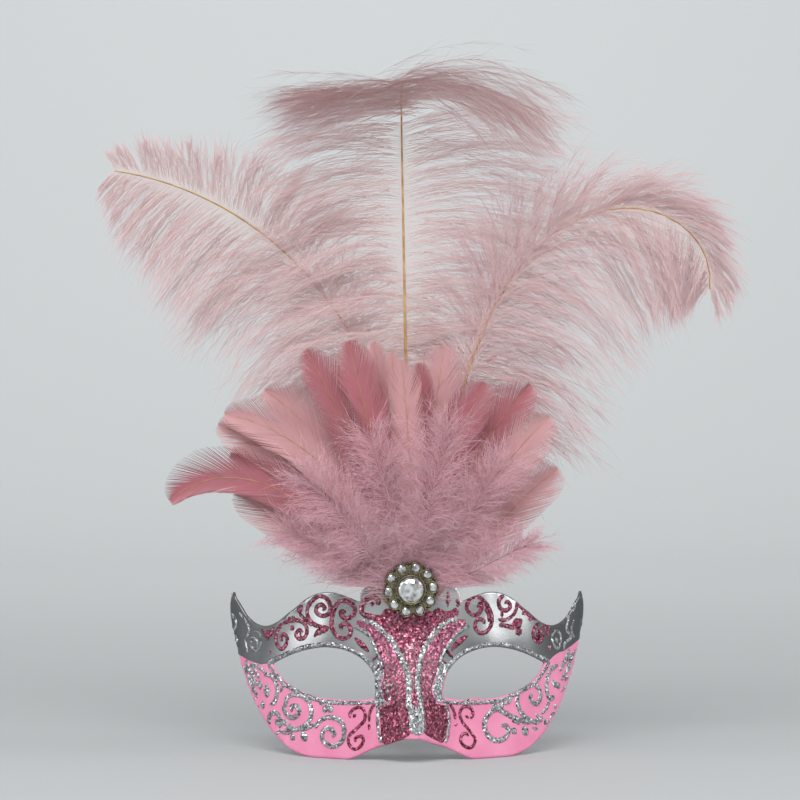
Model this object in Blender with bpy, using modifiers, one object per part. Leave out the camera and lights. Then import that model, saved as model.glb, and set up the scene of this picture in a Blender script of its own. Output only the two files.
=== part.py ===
"""Feather eye mask: a moulded half mask with plumes, wing feathers, down and a stone brooch.

Metres, +Z up. The mask faces -Y and stands on the flat feet of its two cheeks. Everything is
worked out about the middle plane of the face, x = 0, with the feet at z = 0, and the last function
moves the whole so that the origin is at the bottom centre of its box.
"""

import math

import bmesh
import bpy
from mathutils import Vector

MM = 0.001
DOWNWARD = Vector((0, 0, -1))

# Mask shell
HALF_WIDTH = 92 * MM  # middle of the nose to the widest point of a temple
MASK_HEIGHT = 86 * MM  # feet to the top of the volutes
WALL = 2 * MM
WRAP_DEPTH = 58 * MM  # how far the temples lie behind the brow
WRAP_POWER = 2.2
BROW_LEAN = 8 * MM  # how far the top leans back behind the feet
NOSE_OUT = 17 * MM
NOSE_HALF = 21 * MM  # half width of the nose ridge at its foot
NOSE_TOP = 0.93  # share of the mask's height where the ridge fades out
NOSE_FOOT = 0.12  # share of the mask's height where it is fullest
EYE_INNER = 16.4 * MM  # middle plane to the inner corner of an eye hole
EYE_WIDTH = 52.8 * MM
EYE_HEIGHT = 25.6 * MM
EYE_BOTTOM = 29.4 * MM
SHELL_CELLS = (42, 15)  # faces of the sheet across and up
SHELL_MARGIN = 1.06  # size of the sheet before it is cut

# Half outline of the mask, top centre to bottom centre: shares of HALF_WIDTH and MASK_HEIGHT
OUTLINE = (
    # across, up, corner
    (0.140, 0.980, False),
    (0.212, 1.000, False),
    (0.250, 0.990, False),
    (0.271, 0.955, False),
    (0.274, 0.907, True),
    (0.352, 0.940, False),
    (0.440, 0.960, False),
    (0.536, 0.936, False),
    (0.651, 0.841, False),
    (0.766, 0.749, False),
    (0.820, 0.742, False),
    (0.883, 0.778, False),
    (0.940, 0.860, False),
    (0.985, 0.926, True),
    (0.999, 0.831, False),
    (0.967, 0.643, False),
    (0.904, 0.414, False),
    (0.823, 0.227, False),
    (0.710, 0.080, False),
    (0.613, 0.016, False),
    (0.545, 0.000, True),
    (0.335, 0.000, True),
    (0.270, 0.030, False),
    (0.150, 0.093, False),
)
OUTLINE_TOP = 0.977  # share of MASK_HEIGHT at the middle of the brow
OUTLINE_ARCH = 0.148  # the same at the arch under the nose

# Eye hole, clockwise from its inner bottom corner: shares of EYE_WIDTH and EYE_HEIGHT
EYE_OUTLINE = (
    # across, up, corner
    (0.000, 0.063, True),
    (0.006, 0.258, False),
    (0.042, 0.520, False),
    (0.116, 0.734, False),
    (0.240, 0.905, False),
    (0.456, 1.000, False),
    (0.642, 0.949, False),
    (0.767, 0.863, False),
    (0.890, 0.742, False),
    (1.000, 0.609, True),
    (0.930, 0.395, False),
    (0.830, 0.223, False),
    (0.582, 0.039, False),
    (0.398, 0.000, False),
    (0.153, 0.012, False),
)

# Gap between pieces that touch
GAP = 0.35 * MM

# Quill feet, which lie in layers between the brow and the brooch
FOOT_HEIGHT = 78 * MM
SHAFT = 2.2 * MM  # an ostrich shaft at its foot
QUILL = 0.8 * MM  # a wing feather's quill at its foot
PLUME_FEET = 5 * MM  # sideways step between the plumes' feet
WING_FEET = 9.6 * MM  # half the width over which the wing feathers' feet spread
WING_FOOT_DROP = 2.5 * MM  # how much lower the outermost of them end
DOWN_FEET = 6.5 * MM

# Ostrich plumes
PLUME_LENGTH = 300 * MM
PLUME_PITCH = 2.5  # degrees that the shafts lean back
PLUME_LANE = 5 * MM  # front to back step between the plumes
PLUME_LOCKS = 14  # locks on each side of a shaft
PLUME_BARE = 0.16  # share of the length below the first barbs
SHAFT_TAPER = 0.7  # share of its thickness that a shaft loses by its tip
BARB_LENGTH = 66 * MM
BARB_ANGLE = 48  # degrees between a shaft and its barbs
BARB_DROOP = 1.1  # how strongly the barbs hang by their ends
UPPER_HOLD = 0.15  # share of that droop that barbs on the upper side of a level shaft are spared
BARB_CLOSING = 0.6  # share of that angle that the barbs at the tip lose
BARB_MARKS = (0.35, 0.7, 1.0)  # places along a lock that get points
LOCKS_FULL = 0.25  # share of the length over which the locks grow to their full reach
LOCKS_SHORTEN = 0.55  # share of the length where they start to shorten
LOCK_DIP = 0.24  # share of their reach by which the vane is cut back between two locks at its foot
LOCK_UNEVEN = 0.06  # how unequal the locks are
LOCK_TURN = 0.8  # radians from one row to the next in that unevenness
PLUME_VANE = 1.2 * MM
VANE_EDGE = 0.5 * MM
LANE_RUN = 75 * MM  # length over which the plumes part from front to back
CURL_FROM = 0.78  # share of the length where a curled tip starts to roll forward
CURL_RUN = 0.3

PLUMES = (
    # name, foot, length, lean at foot, lean at tip, turn, lane, curl, left and right: reach, taper
    ("plume_left", -1, 0.96, 6, -82, 1.2, 2, 0, (1.25, 0.85), (0.90, 0.80)),
    ("plume_centre", 0, 0.93, -1, -1, 1.0, 1, 120, (1.15, 0.10), (1.15, 0.10)),
    ("plume_right", 1, 1.02, 10, 190, 3.3, 0, 0, (0.70, 0.80), (1.10, 0.90)),
)

# Wing feathers
WING_LENGTH = 135 * MM
WING_WIDTH = 20 * MM
WING_LAYER = 1.7 * MM  # front to back step between the layers
WING_RUN = 25 * MM  # length over which the layers part
WING_EDGE = 0.35 * MM
WING_CUP = 0.12  # how far a blade's edges curl, as a share of its half width
WING_BARE = 0.2  # share of the length below the blade
WING_SWELL = 0.42  # share of the length over which the blade widens
WING_TIP = 0.6  # share of the length where the blade starts to round off
WING_TIP_POWER = 2.4
WING_ROWS = (0, 0.15, 0.3, 0.42, 0.54, 0.66, 0.78, 0.88, 0.95, 1.0)
QUILL_TAPER = 0.6

WINGS = (
    # length, lean at foot, lean at tip, turn, width, layer; from the left, their feet evenly spaced
    (0.72, -46, -60, 1.2, 1.20, 0),
    (1.04, -36, -137, 2.4, 1.20, 3),
    (0.85, -27, -72, 1.2, 1.10, 1),
    (0.97, -22, -70, 1.1, 1.15, 2),
    (1.01, -18, -80, 1.5, 1.10, 4),
    (0.96, -16, -55, 1.3, 1.15, 0),
    (1.01, -13, -31, 1.1, 1.00, 1),
    (0.99, -11, -15, 1.0, 1.10, 3),
    (0.97, -7, -10, 1.5, 0.70, 0),
    (0.93, -6, -3, 1.5, 0.60, 2),
    (0.90, -2, -6, 2.0, 0.85, 4),
    (0.89, 1, 0, 1.0, 0.70, 1),
    (0.96, 2, 9, 1.1, 1.25, 0),
    (0.86, 4, 28, 1.1, 1.15, 3),
    (0.92, 8, 45, 1.1, 1.20, 1),
    (0.84, 18, 47, 1.0, 1.40, 4),
    (0.70, 36, 50, 1.2, 1.20, 0),
)

# Down around the brooch
DOWN_LENGTH = 82 * MM
DOWN_REACH = 21 * MM
DOWN_PITCH = -13  # degrees that the down stands forward
DOWN_LAYER = 3.7 * MM
DOWN_STAND = 5.5 * MM  # how far the rearmost down stands in front of its foot
DOWN_RUN = 12 * MM
DOWN_VANE = 0.9 * MM
DOWN_LOCKS = 5
DOWN_TAPER = 0.5

DOWNS = (
    # foot, length, lean at foot, lean at tip, turn, reach, layer
    (-1.0, 0.80, -48, -70, 1.5, 0.90, 0),
    (-0.6, 1.00, -32, -46, 1.5, 1.00, 1),
    (-0.2, 1.05, -10, -18, 1.5, 1.00, 0),
    (0.2, 1.10, 8, 14, 1.5, 1.00, 1),
    (0.6, 1.00, 27, 36, 1.5, 0.95, 0),
    (1.0, 0.75, 55, 67, 1.5, 0.75, 1),
)

# Brooch
BROOCH_HEIGHT = FOOT_HEIGHT + 7 * MM  # feet of the mask to the middle of the brooch
PLATE_RADIUS = 12.2 * MM
PLATE_THICK = 1.2 * MM
RING_RADIUS = 11 * MM  # middle of the brooch to the middle of a small cup
CUP_COUNT = 10
CUP_TURN = 6  # degrees from +X to the first cup
CUP_WALL = 0.75 * MM
CUP_HEIGHT = 3.4 * MM
BEZEL_WALL = 0.8 * MM
BEZEL_HEIGHT = 5.4 * MM
BEAD_RADIUS = 0.95 * MM
BEAD_OUT = 1.14  # a bead's distance from the middle, as a share of RING_RADIUS
BEAD_HEIGHT = 1.3 * MM
SMALL_STONE = 4.3 * MM
CENTRE_STONE = 13 * MM
STONE_SEAT = 0.35 * MM  # clearance round a stone in its cup
PAD_RADIUS = 2.4 * MM
PAD_DROP = 9.6 * MM  # middle of the brooch down to the middle of its seat pad

# Sides of the turned pieces
PLATE_SIDES = 30
BEZEL_SIDES = 24
PAD_SIDES = 12
CUP_SIDES = 10
SMALL_FACETS = 8
CENTRE_FACETS = 16

# Proportions of a cut stone, as shares of its radius
TABLE = 0.56
CROWN = 0.36  # girdle's foot to the table
GIRDLE = 0.08
PAVILION = 0.36
RIM = 0.16  # how far the cup's rim stands above the girdle's foot


def smooth(value):
    """0 below 0, 1 above 1 and an even ease between."""
    value = min(max(value, 0.0), 1.0)
    return value * value * (3 - 2 * value)


def face_depth(x, z):
    """How far back the mask's front face lies at this place."""
    across = abs(x) / HALF_WIDTH
    up = z / MASK_HEIGHT
    ridge = math.cos(math.pi / 2 * min(abs(x) / NOSE_HALF, 1)) ** 2
    fullness = 1 - smooth((up - NOSE_FOOT) / (NOSE_TOP - NOSE_FOOT))
    return WRAP_DEPTH * across**WRAP_POWER + BROW_LEAN * up - NOSE_OUT * ridge * fullness


# Length of a quill that the brooch hides, so that it stays flat behind it
BEHIND_BROOCH = BROOCH_HEIGHT + RING_RADIUS + SMALL_STONE / 2 + CUP_WALL - FOOT_HEIGHT + 2 * GAP

# Layers between the brow and the brooch, from the mask forward
PLUME_FOOT_Y = face_depth(0, FOOT_HEIGHT) - GAP - SHAFT / 2
WING_FOOT_Y = PLUME_FOOT_Y - SHAFT / 2 - GAP - QUILL / 2
DOWN_FOOT_Y = WING_FOOT_Y - QUILL - GAP
BROOCH_Y = DOWN_FOOT_Y - QUILL / 2 - GAP


def material(name, colour, roughness, metallic=0.0):
    made = bpy.data.materials.new(name)
    made.use_nodes = True
    shader = made.node_tree.nodes["Principled BSDF"]
    shader.inputs["Base Color"].default_value = (*colour, 1)
    shader.inputs["Roughness"].default_value = roughness
    shader.inputs["Metallic"].default_value = metallic
    return made


def add_object(name, data, collection, parent=None):
    made = bpy.data.objects.new(name, data)
    collection.objects.link(made)
    made.parent = parent
    return made


def hide_cutter(cutter):
    cutter.hide_render = True
    cutter.display_type = "WIRE"


def finished_mesh(name, bm, finish):
    """A smooth-shaded mesh of one material from a bmesh, which it frees."""
    mesh = bpy.data.meshes.new(name)
    bm.to_mesh(mesh)
    bm.free()
    if finish:
        mesh.materials.append(finish)
    mesh.shade_smooth()
    mesh.set_sharp_from_angle(angle=math.radians(40))
    return mesh


def add_spline(curve, points):
    """A closed Bezier spline through (x, y, corner) points."""
    spline = curve.splines.new("BEZIER")
    spline.bezier_points.add(len(points) - 1)
    for knot, (x, y, corner) in zip(spline.bezier_points, points):
        knot.co = (x, y, 0)
        knot.handle_left_type = knot.handle_right_type = "VECTOR" if corner else "AUTO"
    spline.use_cyclic_u = True
    spline.resolution_u = 2


def both_sides(half, top, bottom):
    """A closed outline from its right half and its two points on the middle plane."""
    left = [(-x, z, corner) for x, z, corner in reversed(half)]
    return [(0, top, False), *half, (0, bottom, False), *left]


def front_cutter(collection, parent):
    """The mask's front view with its eye holes, drawn through the whole depth of the face."""
    curve = bpy.data.curves.new("front_view", "CURVE")
    curve.dimensions = "2D"
    curve.fill_mode = "BOTH"
    curve.extrude = WRAP_DEPTH + NOSE_OUT + BROW_LEAN
    half = [(x * HALF_WIDTH, z * MASK_HEIGHT, corner) for x, z, corner in OUTLINE]
    add_spline(curve, both_sides(half, OUTLINE_TOP * MASK_HEIGHT, OUTLINE_ARCH * MASK_HEIGHT))
    eye = [
        (EYE_INNER + x * EYE_WIDTH, EYE_BOTTOM + z * EYE_HEIGHT, corner)
        for x, z, corner in EYE_OUTLINE
    ]
    add_spline(curve, eye)
    add_spline(curve, [(-x, z, corner) for x, z, corner in reversed(eye)])
    drawn = add_object("front_view", curve, collection, parent)
    drawn.rotation_euler = (math.pi / 2, 0, 0)
    bpy.context.view_layer.update()
    mesh = bpy.data.meshes.new_from_object(drawn.evaluated_get(bpy.context.evaluated_depsgraph_get()))
    bm = bmesh.new()
    bm.from_mesh(mesh)
    bmesh.ops.remove_doubles(bm, verts=bm.verts, dist=0.00001)
    bm.to_mesh(mesh)
    bm.free()
    cutter = add_object("front_cutter", mesh, collection, parent)
    cutter.rotation_euler = drawn.rotation_euler
    bpy.data.objects.remove(drawn)
    hide_cutter(cutter)
    return cutter


def mask_shell(collection, cutters, parent, finish):
    """A curved sheet with a wall, cut to the front view."""
    bm = bmesh.new()
    cells_across, cells_up = SHELL_CELLS
    bmesh.ops.create_grid(bm, x_segments=cells_across, y_segments=cells_up, size=1)
    for vert in bm.verts:
        x = vert.co.x * HALF_WIDTH * SHELL_MARGIN
        z = (1 + vert.co.y * SHELL_MARGIN) / 2 * MASK_HEIGHT
        vert.co = (x, face_depth(x, z), z)
    mesh = finished_mesh("mask_shell", bm, finish)
    if mesh.polygons[0].normal.y > 0:
        mesh.flip_normals()
    shell = add_object("mask_shell", mesh, collection, parent)
    wall = shell.modifiers.new("wall", "SOLIDIFY")
    wall.thickness = WALL
    cut = shell.modifiers.new("front view", "BOOLEAN")
    cut.operation = "INTERSECT"
    cut.object = front_cutter(cutters, parent)
    return shell


def shaft_path(foot, length, leans, turn, shares, pitch=0.0, curl=0.0, lane=0.0, flat=0.0, run=1.0):
    """Places along a shaft, each with its direction and the way its vane faces.

    leans are the sideways angles at foot and tip, and turn says how late the shaft bends. It
    stays upright for the length flat, and then pitch leans it back, lane carries it back within
    the length run, and curl rolls its end forward.
    """
    steps = 120
    place = Vector(foot)
    path = []
    for step in range(steps + 1):
        share = step / steps
        freed = smooth((share * length - flat) / run)
        lean = math.radians(leans[0] + (leans[1] - leans[0]) * share**turn)
        back = math.radians(pitch * freed - curl * smooth((share - CURL_FROM) / CURL_RUN))
        sideways, upright = math.sin(lean), math.cos(lean)
        along = Vector((sideways * math.cos(back), math.sin(back), upright * math.cos(back)))
        facing = Vector((sideways * math.sin(back), -math.cos(back), upright * math.sin(back)))
        path.append((place + Vector((0, lane * freed, 0)), along, facing))
        place = place + along * (length / steps)
    return [path[round(share * steps)] for share in shares]


def barb_points(station, side, reach, spread, bend, marks):
    """Points along one barb, which leaves its shaft at an angle and then hangs."""
    place, along, facing = station
    across = along.cross(facing) * side
    way = along * math.cos(spread) + across * math.sin(spread)
    if side * bend > 0 and way.z < 0 and side * way.x < 0:
        way.x = 0
    droop = BARB_DROOP * (1 - UPPER_HOLD * max(across.z, 0))
    points = []
    done = 0.0
    for mark in marks:
        heading = (way + DOWNWARD * droop * (done + mark) / 2).normalized()
        place = place + heading * reach * (mark - done)
        points.append(place)
        done = mark
    return points


def sheet_sides(rows, depths):
    """The front and the back of a sheet of left-to-right rows of points, half a depth out from each."""
    front, back = [], []
    for index, (row, thickness) in enumerate(zip(rows, depths)):
        below, above = rows[max(index - 1, 0)], rows[min(index + 1, len(rows) - 1)]
        outwards = []
        for place, depth in enumerate(thickness):
            rightward = row[min(place + 1, len(row) - 1)] - row[max(place - 1, 0)]
            outwards.append(rightward.cross(above[place] - below[place]).normalized() * depth / 2)
        front.append([point + outward for point, outward in zip(row, outwards)])
        back.append([point - outward for point, outward in zip(row, outwards)])
    return front, back


def loft(rows, depths, name, finish):
    """One closed body from a sheet of rows of points, as thick at each point as its depth."""
    bm = bmesh.new()
    front, back = (
        [[bm.verts.new(point) for point in row] for row in side]
        for side in sheet_sides(rows, depths)
    )
    last = len(rows[0]) - 1
    for index in range(len(rows) - 1):
        for place in range(last):
            corners = [(index, place), (index, place + 1), (index + 1, place + 1), (index + 1, place)]
            one, two, three, four = (rows[row][column] for row, column in corners)
            if (one - three).length > (two - four).length:
                corners = corners[1:] + corners[:1]
            for triangle in (corners[:3], [corners[0], *corners[2:]]):
                bm.faces.new([front[row][column] for row, column in triangle])
                bm.faces.new([back[row][column] for row, column in reversed(triangle)])
        for place in (0, last):
            edge = [front[index][place], front[index + 1][place]]
            edge += [back[index + 1][place], back[index][place]]
            bm.faces.new(edge if place == 0 else edge[::-1])
    for place in range(last):
        foot = [front[0][place], back[0][place], back[0][place + 1], front[0][place + 1]]
        tip = [front[-1][place], front[-1][place + 1], back[-1][place + 1], back[-1][place]]
        bm.faces.new(foot)
        bm.faces.new(tip)
    return finished_mesh(name, bm, finish)


def plume_mesh(name, path, shares, shaft, vane, sides, bare, bend, marks, finish):
    """A shaft with locks of barbs fused to both sides, each side with its reach and its taper."""
    rows, thickness = [], []
    for index, (share, station) in enumerate(zip(shares, path)):
        place, along, facing = station
        radius = shaft / 2 * (1 - SHAFT_TAPER * share)
        if share < bare:
            across = along.cross(facing)
            left = [place - across * radius * mark for mark in marks]
            right = [place + across * radius * mark for mark in marks]
            depths = [2 * radius * math.sqrt(1.06 - mark**2) for mark in marks]
        else:
            grown = smooth((share - bare) / LOCKS_FULL)
            late = max((share - LOCKS_SHORTEN) / (1 - LOCKS_SHORTEN), 0) ** 2
            dip = (0 if index % 2 else LOCK_DIP) + LOCK_UNEVEN * math.sin(LOCK_TURN * index)
            lock = 1 - dip * (1 - share**2)
            spread = math.radians(BARB_ANGLE * (1 - BARB_CLOSING * share**6))
            lengths = [
                max(reach * grown * lock * (1 - taper * late), 2.5 * radius) for reach, taper in sides
            ]
            left = barb_points(station, -1, lengths[0], spread, bend, marks)
            right = barb_points(station, 1, lengths[1], spread, bend, marks)
            depths = [vane + (VANE_EDGE - vane) * mark for mark in marks]
        rows.append([*reversed(left), place, *right])
        thickness.append([*reversed(depths), max(2 * radius, depths[0]), *depths])
    return loft(rows, thickness, name, finish)


def plume_shares(bare, locks, naked_rows):
    """Stations up the bare shaft, and then one for each lock and each gap between locks."""
    lower = [bare * row / naked_rows for row in range(naked_rows)]
    rows = 2 * locks
    return lower + [bare + (1 - bare) * row / rows for row in range(rows + 1)]


def add_plumes(collection, parent, finish):
    shares = plume_shares(PLUME_BARE, PLUME_LOCKS, 3)
    for name, foot, length, lean_foot, lean_tip, turn, lane, curl, *sides in PLUMES:
        start = (foot * PLUME_FEET, PLUME_FOOT_Y, FOOT_HEIGHT)
        leans = (lean_foot, lean_tip)
        path = shaft_path(
            start, length * PLUME_LENGTH, leans, turn, shares,
            pitch=PLUME_PITCH, curl=curl, lane=lane * PLUME_LANE, run=LANE_RUN,
        )
        bend = math.copysign(1, lean_tip - lean_foot) if lean_tip != lean_foot else 0
        reaches = [(reach * BARB_LENGTH, taper) for reach, taper in sides]
        mesh = plume_mesh(
            name, path, shares, SHAFT, PLUME_VANE, reaches, PLUME_BARE, bend, BARB_MARKS, finish
        )
        add_object(name, mesh, collection, parent)


def wing_mesh(name, path, half_width, finish):
    """A quill that widens into a cupped blade with a round tip."""
    rows, thickness = [], []
    for share, (place, along, facing) in zip(WING_ROWS, path):
        across = along.cross(facing)
        radius = QUILL / 2 * (1 - QUILL_TAPER * share)
        swell = smooth((share - WING_BARE) / WING_SWELL)
        rounding = max((share - WING_TIP) / WING_SWELL, 0) ** WING_TIP_POWER
        width = max(half_width * swell * math.sqrt(max(1 - rounding, 0)), radius)
        edge = along * (width - radius) / 2
        if width > radius:
            edge -= facing * width * WING_CUP
        rows.append([place - across * width + edge, place, place + across * width + edge])
        thickness.append((WING_EDGE, 2 * radius, WING_EDGE))
    return loft(rows, thickness, name, finish)


def add_wings(collection, parent, finishes):
    for index, (length, lean_foot, lean_tip, turn, width, layer) in enumerate(WINGS):
        name = f"wing_feather_{index + 1:02d}"
        foot = 2 * index / (len(WINGS) - 1) - 1
        start = (foot * WING_FEET, WING_FOOT_Y, FOOT_HEIGHT - WING_FOOT_DROP * abs(foot))
        leans = (lean_foot, lean_tip)
        path = shaft_path(
            start, length * WING_LENGTH, leans, turn, WING_ROWS,
            lane=-layer * WING_LAYER, flat=BEHIND_BROOCH, run=WING_RUN,
        )
        mesh = wing_mesh(name, path, width * WING_WIDTH / 2, finishes[layer % 2])
        add_object(name, mesh, collection, parent)


def add_downs(collection, parent, finish):
    for index, (foot, length, lean_foot, lean_tip, turn, reach, layer) in enumerate(DOWNS):
        name = f"down_{index + 1:02d}"
        bare = BEHIND_BROOCH / (length * DOWN_LENGTH)
        shares = plume_shares(bare, DOWN_LOCKS, 1)
        start = (foot * DOWN_FEET, DOWN_FOOT_Y, FOOT_HEIGHT)
        leans = (lean_foot, lean_tip)
        path = shaft_path(
            start, length * DOWN_LENGTH, leans, turn, shares,
            pitch=DOWN_PITCH, lane=-layer * DOWN_LAYER - DOWN_STAND, flat=BEHIND_BROOCH, run=DOWN_RUN,
        )
        sides = [(reach * DOWN_REACH, DOWN_TAPER)] * 2
        mesh = plume_mesh(name, path, shares, QUILL, DOWN_VANE, sides, bare, 0, (1.0,), finish)
        add_object(name, mesh, collection, parent)


def turned(name, profile, steps, collection, parent, finish=None):
    """A solid of revolution about the local Z axis, from (radius, height) points, top to bottom."""
    mesh = bpy.data.meshes.new(name)
    edges = [(index, index + 1) for index in range(len(profile) - 1)]
    mesh.from_pydata([(radius, 0, height) for radius, height in profile], edges, [])
    if finish:
        mesh.materials.append(finish)
    made = add_object(name, mesh, collection, parent)
    screw = made.modifiers.new("turned", "SCREW")
    screw.steps = screw.render_steps = steps
    screw.use_merge_vertices = True
    screw.merge_threshold = 0.00001
    screw.use_smooth_shade = False
    return made


def stone_profile(width):
    """Table, crown, girdle and pavilion of a cut stone, with the girdle's foot at height 0."""
    radius = width / 2
    return (
        (0, CROWN * radius),
        (TABLE * radius, CROWN * radius),
        (radius, GIRDLE * radius),
        (radius, 0),
        (0, -PAVILION * radius),
    )


def cup_profile(stone_width, wall, height):
    """A closed cup: a pocket that follows its stone's underside, a rim and an outer wall."""
    radius = stone_width / 2
    inner = radius + STONE_SEAT
    floor = height - RIM * radius - GAP
    return (
        (0, floor - PAVILION * radius - GAP),
        (inner, floor),
        (inner, height),
        (inner + wall, height),
        (inner + wall, 0),
        (0, 0),
    )


def stone_height(stone_width, cup_height):
    """Height of a stone's girdle foot when it sits in its cup."""
    return cup_height - RIM * stone_width / 2


def ring_places(first_turn):
    """Evenly spaced places round the middle of the brooch, in its own plane."""
    for index in range(CUP_COUNT):
        turn = math.radians(first_turn + 360 * index / CUP_COUNT)
        yield RING_RADIUS * math.cos(turn), RING_RADIUS * math.sin(turn)


def add_bead(name, place, collection, parent):
    mesh = bpy.data.meshes.new(name)
    bm = bmesh.new()
    bmesh.ops.create_icosphere(bm, subdivisions=1, radius=BEAD_RADIUS)
    bm.to_mesh(mesh)
    bm.free()
    bead = add_object(name, mesh, collection, parent)
    bead.location = place
    hide_cutter(bead)


def add_brooch(collection, cutters, parent, metal, glass):
    seat = add_object("brooch_seat", None, collection, parent)
    seat.location = (0, BROOCH_Y, BROOCH_HEIGHT)
    seat.rotation_euler = (math.pi / 2, 0, 0)
    plate = (
        (0, PLATE_THICK),
        (PLATE_RADIUS, PLATE_THICK),
        (PLATE_RADIUS, 0),
        (0, 0),
    )
    setting = turned("brooch_setting", plate, PLATE_SIDES, collection, seat, metal)
    joined = bpy.data.collections.new("Soldered")
    cutters.children.link(joined)

    bezel = cup_profile(CENTRE_STONE, BEZEL_WALL, BEZEL_HEIGHT)
    hide_cutter(turned("bezel", bezel, BEZEL_SIDES, joined, seat))
    pad_depth = face_depth(0, BROOCH_HEIGHT - PAD_DROP - PAD_RADIUS) - BROOCH_Y - GAP
    pad_top = PLATE_THICK / 2
    pad_profile = ((0, pad_top), (PAD_RADIUS, pad_top), (PAD_RADIUS, -pad_depth), (0, -pad_depth))
    pad = turned("pad", pad_profile, PAD_SIDES, joined, seat)
    pad.location = (0, -PAD_DROP, 0)
    hide_cutter(pad)
    small_cup = cup_profile(SMALL_STONE, CUP_WALL, CUP_HEIGHT)
    small_stone = stone_profile(SMALL_STONE)
    for index, (x, y) in enumerate(ring_places(CUP_TURN)):
        cup = turned(f"cup_{index + 1:02d}", small_cup, CUP_SIDES, joined, seat)
        cup.location = (x, y, 0)
        hide_cutter(cup)
        name = f"small_stone_{index + 1:02d}"
        stone = turned(name, small_stone, SMALL_FACETS, collection, seat, glass)
        stone.location = (x, y, stone_height(SMALL_STONE, CUP_HEIGHT))
    for index, (x, y) in enumerate(ring_places(CUP_TURN + 180 / CUP_COUNT)):
        add_bead(f"bead_{index + 1:02d}", (x * BEAD_OUT, y * BEAD_OUT, BEAD_HEIGHT), joined, seat)
    soldered = setting.modifiers.new("soldered", "BOOLEAN")
    soldered.operation = "UNION"
    soldered.operand_type = "COLLECTION"
    soldered.collection = joined
    profile = stone_profile(CENTRE_STONE)
    centre = turned("centre_stone", profile, CENTRE_FACETS, collection, seat, glass)
    centre.location = (0, 0, stone_height(CENTRE_STONE, BEZEL_HEIGHT))


def stand_on_origin(stand, collection):
    """Moves the stand so that the bottom centre of the whole box is at the origin."""
    bpy.context.view_layer.update()
    depsgraph = bpy.context.evaluated_depsgraph_get()
    corners = []
    for made in collection.objects:
        if made.type == "MESH":
            evaluated = made.evaluated_get(depsgraph)
            corners += [made.matrix_world @ vert.co for vert in evaluated.data.vertices]
    low = [min(corner[axis] for corner in corners) for axis in range(3)]
    high = [max(corner[axis] for corner in corners) for axis in range(3)]
    stand.location = (-(low[0] + high[0]) / 2, -(low[1] + high[1]) / 2, -low[2])


def main():
    for old in list(bpy.data.objects):
        bpy.data.objects.remove(old)
    collection = bpy.data.collections.new("Feather eye mask")
    cutters = bpy.data.collections.new("Cutters")
    bpy.context.scene.collection.children.link(collection)
    bpy.context.scene.collection.children.link(cutters)
    stand = add_object("stand", None, collection)

    paint = material("pink_paint", (0.87, 0.27, 0.46), 0.35)
    plume_pink = material("ostrich_pink", (0.68, 0.44, 0.43), 0.8)
    rose = material("rose_feather", (0.50, 0.22, 0.24), 0.6)
    dark_rose = material("dark_rose_feather", (0.36, 0.11, 0.14), 0.6)
    down_pink = material("down_pink", (0.52, 0.28, 0.36), 0.9)
    metal = material("aged_metal", (0.16, 0.14, 0.11), 0.4, 1.0)
    glass = material("cut_glass", (0.9, 0.9, 0.92), 0.05)

    mask_shell(collection, cutters, stand, paint)
    add_plumes(collection, stand, plume_pink)
    add_wings(collection, stand, (rose, dark_rose))
    add_downs(collection, stand, down_pink)
    add_brooch(collection, cutters, stand, metal, glass)
    stand_on_origin(stand, collection)


main()
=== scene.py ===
# %% [markdown]
# # A feather eye mask
# A half mask of moulded plastic, painted pink and covered over the brow with silver foil, carries
# three ostrich plumes, a fan of dyed wing feathers, a tuft of down and a round brooch of stones.
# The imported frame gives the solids, and each of them is dressed here with a piece that has its
# real surface. The frame comes first, so that every later piece can take its place from it.

import math
import random

import bmesh
import bpy
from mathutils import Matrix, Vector, noise


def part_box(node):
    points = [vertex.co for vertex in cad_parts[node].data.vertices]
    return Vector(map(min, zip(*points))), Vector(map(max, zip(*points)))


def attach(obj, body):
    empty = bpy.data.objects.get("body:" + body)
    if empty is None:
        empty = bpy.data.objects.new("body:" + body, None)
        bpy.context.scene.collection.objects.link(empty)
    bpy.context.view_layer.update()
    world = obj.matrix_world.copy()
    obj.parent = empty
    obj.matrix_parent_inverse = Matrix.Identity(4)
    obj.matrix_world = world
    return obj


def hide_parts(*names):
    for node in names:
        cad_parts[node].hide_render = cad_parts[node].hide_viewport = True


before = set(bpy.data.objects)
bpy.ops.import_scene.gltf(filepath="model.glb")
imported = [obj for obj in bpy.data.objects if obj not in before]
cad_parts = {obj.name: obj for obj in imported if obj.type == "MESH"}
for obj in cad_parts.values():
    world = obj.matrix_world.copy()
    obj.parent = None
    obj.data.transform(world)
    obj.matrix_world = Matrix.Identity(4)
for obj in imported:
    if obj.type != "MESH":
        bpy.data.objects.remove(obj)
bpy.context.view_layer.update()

# %% Units and the middle plane of the face
MM = 0.001
NOSE_TIP = 15.669 * MM  # how far the nose ridge stands in front of where measures start
shell_low, shell_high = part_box("mask_shell")
STAND = Vector(((shell_low.x + shell_high.x) / 2, shell_low.y + NOSE_TIP, 0))
print("measures start from", STAND)

# %% [markdown]
# ## Colours and nodes
# A colour is given as an sRGB hex code, and a shader wants linear light, so one function turns
# one into the other. A material here is a Principled shader and a few nodes that vary what the real
# surface varies. One function adds any node, which keeps each recipe down to its values and links.

# %% Linear colour from a hex code
def linear(code):
    shares = [int(code[start : start + 2], 16) / 255 for start in (0, 2, 4)]
    return (*(s / 12.92 if s <= 0.04045 else ((s + 0.055) / 1.055) ** 2.4 for s in shares), 1.0)


print("mid grey is", round(linear("808080")[0], 3))

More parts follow.
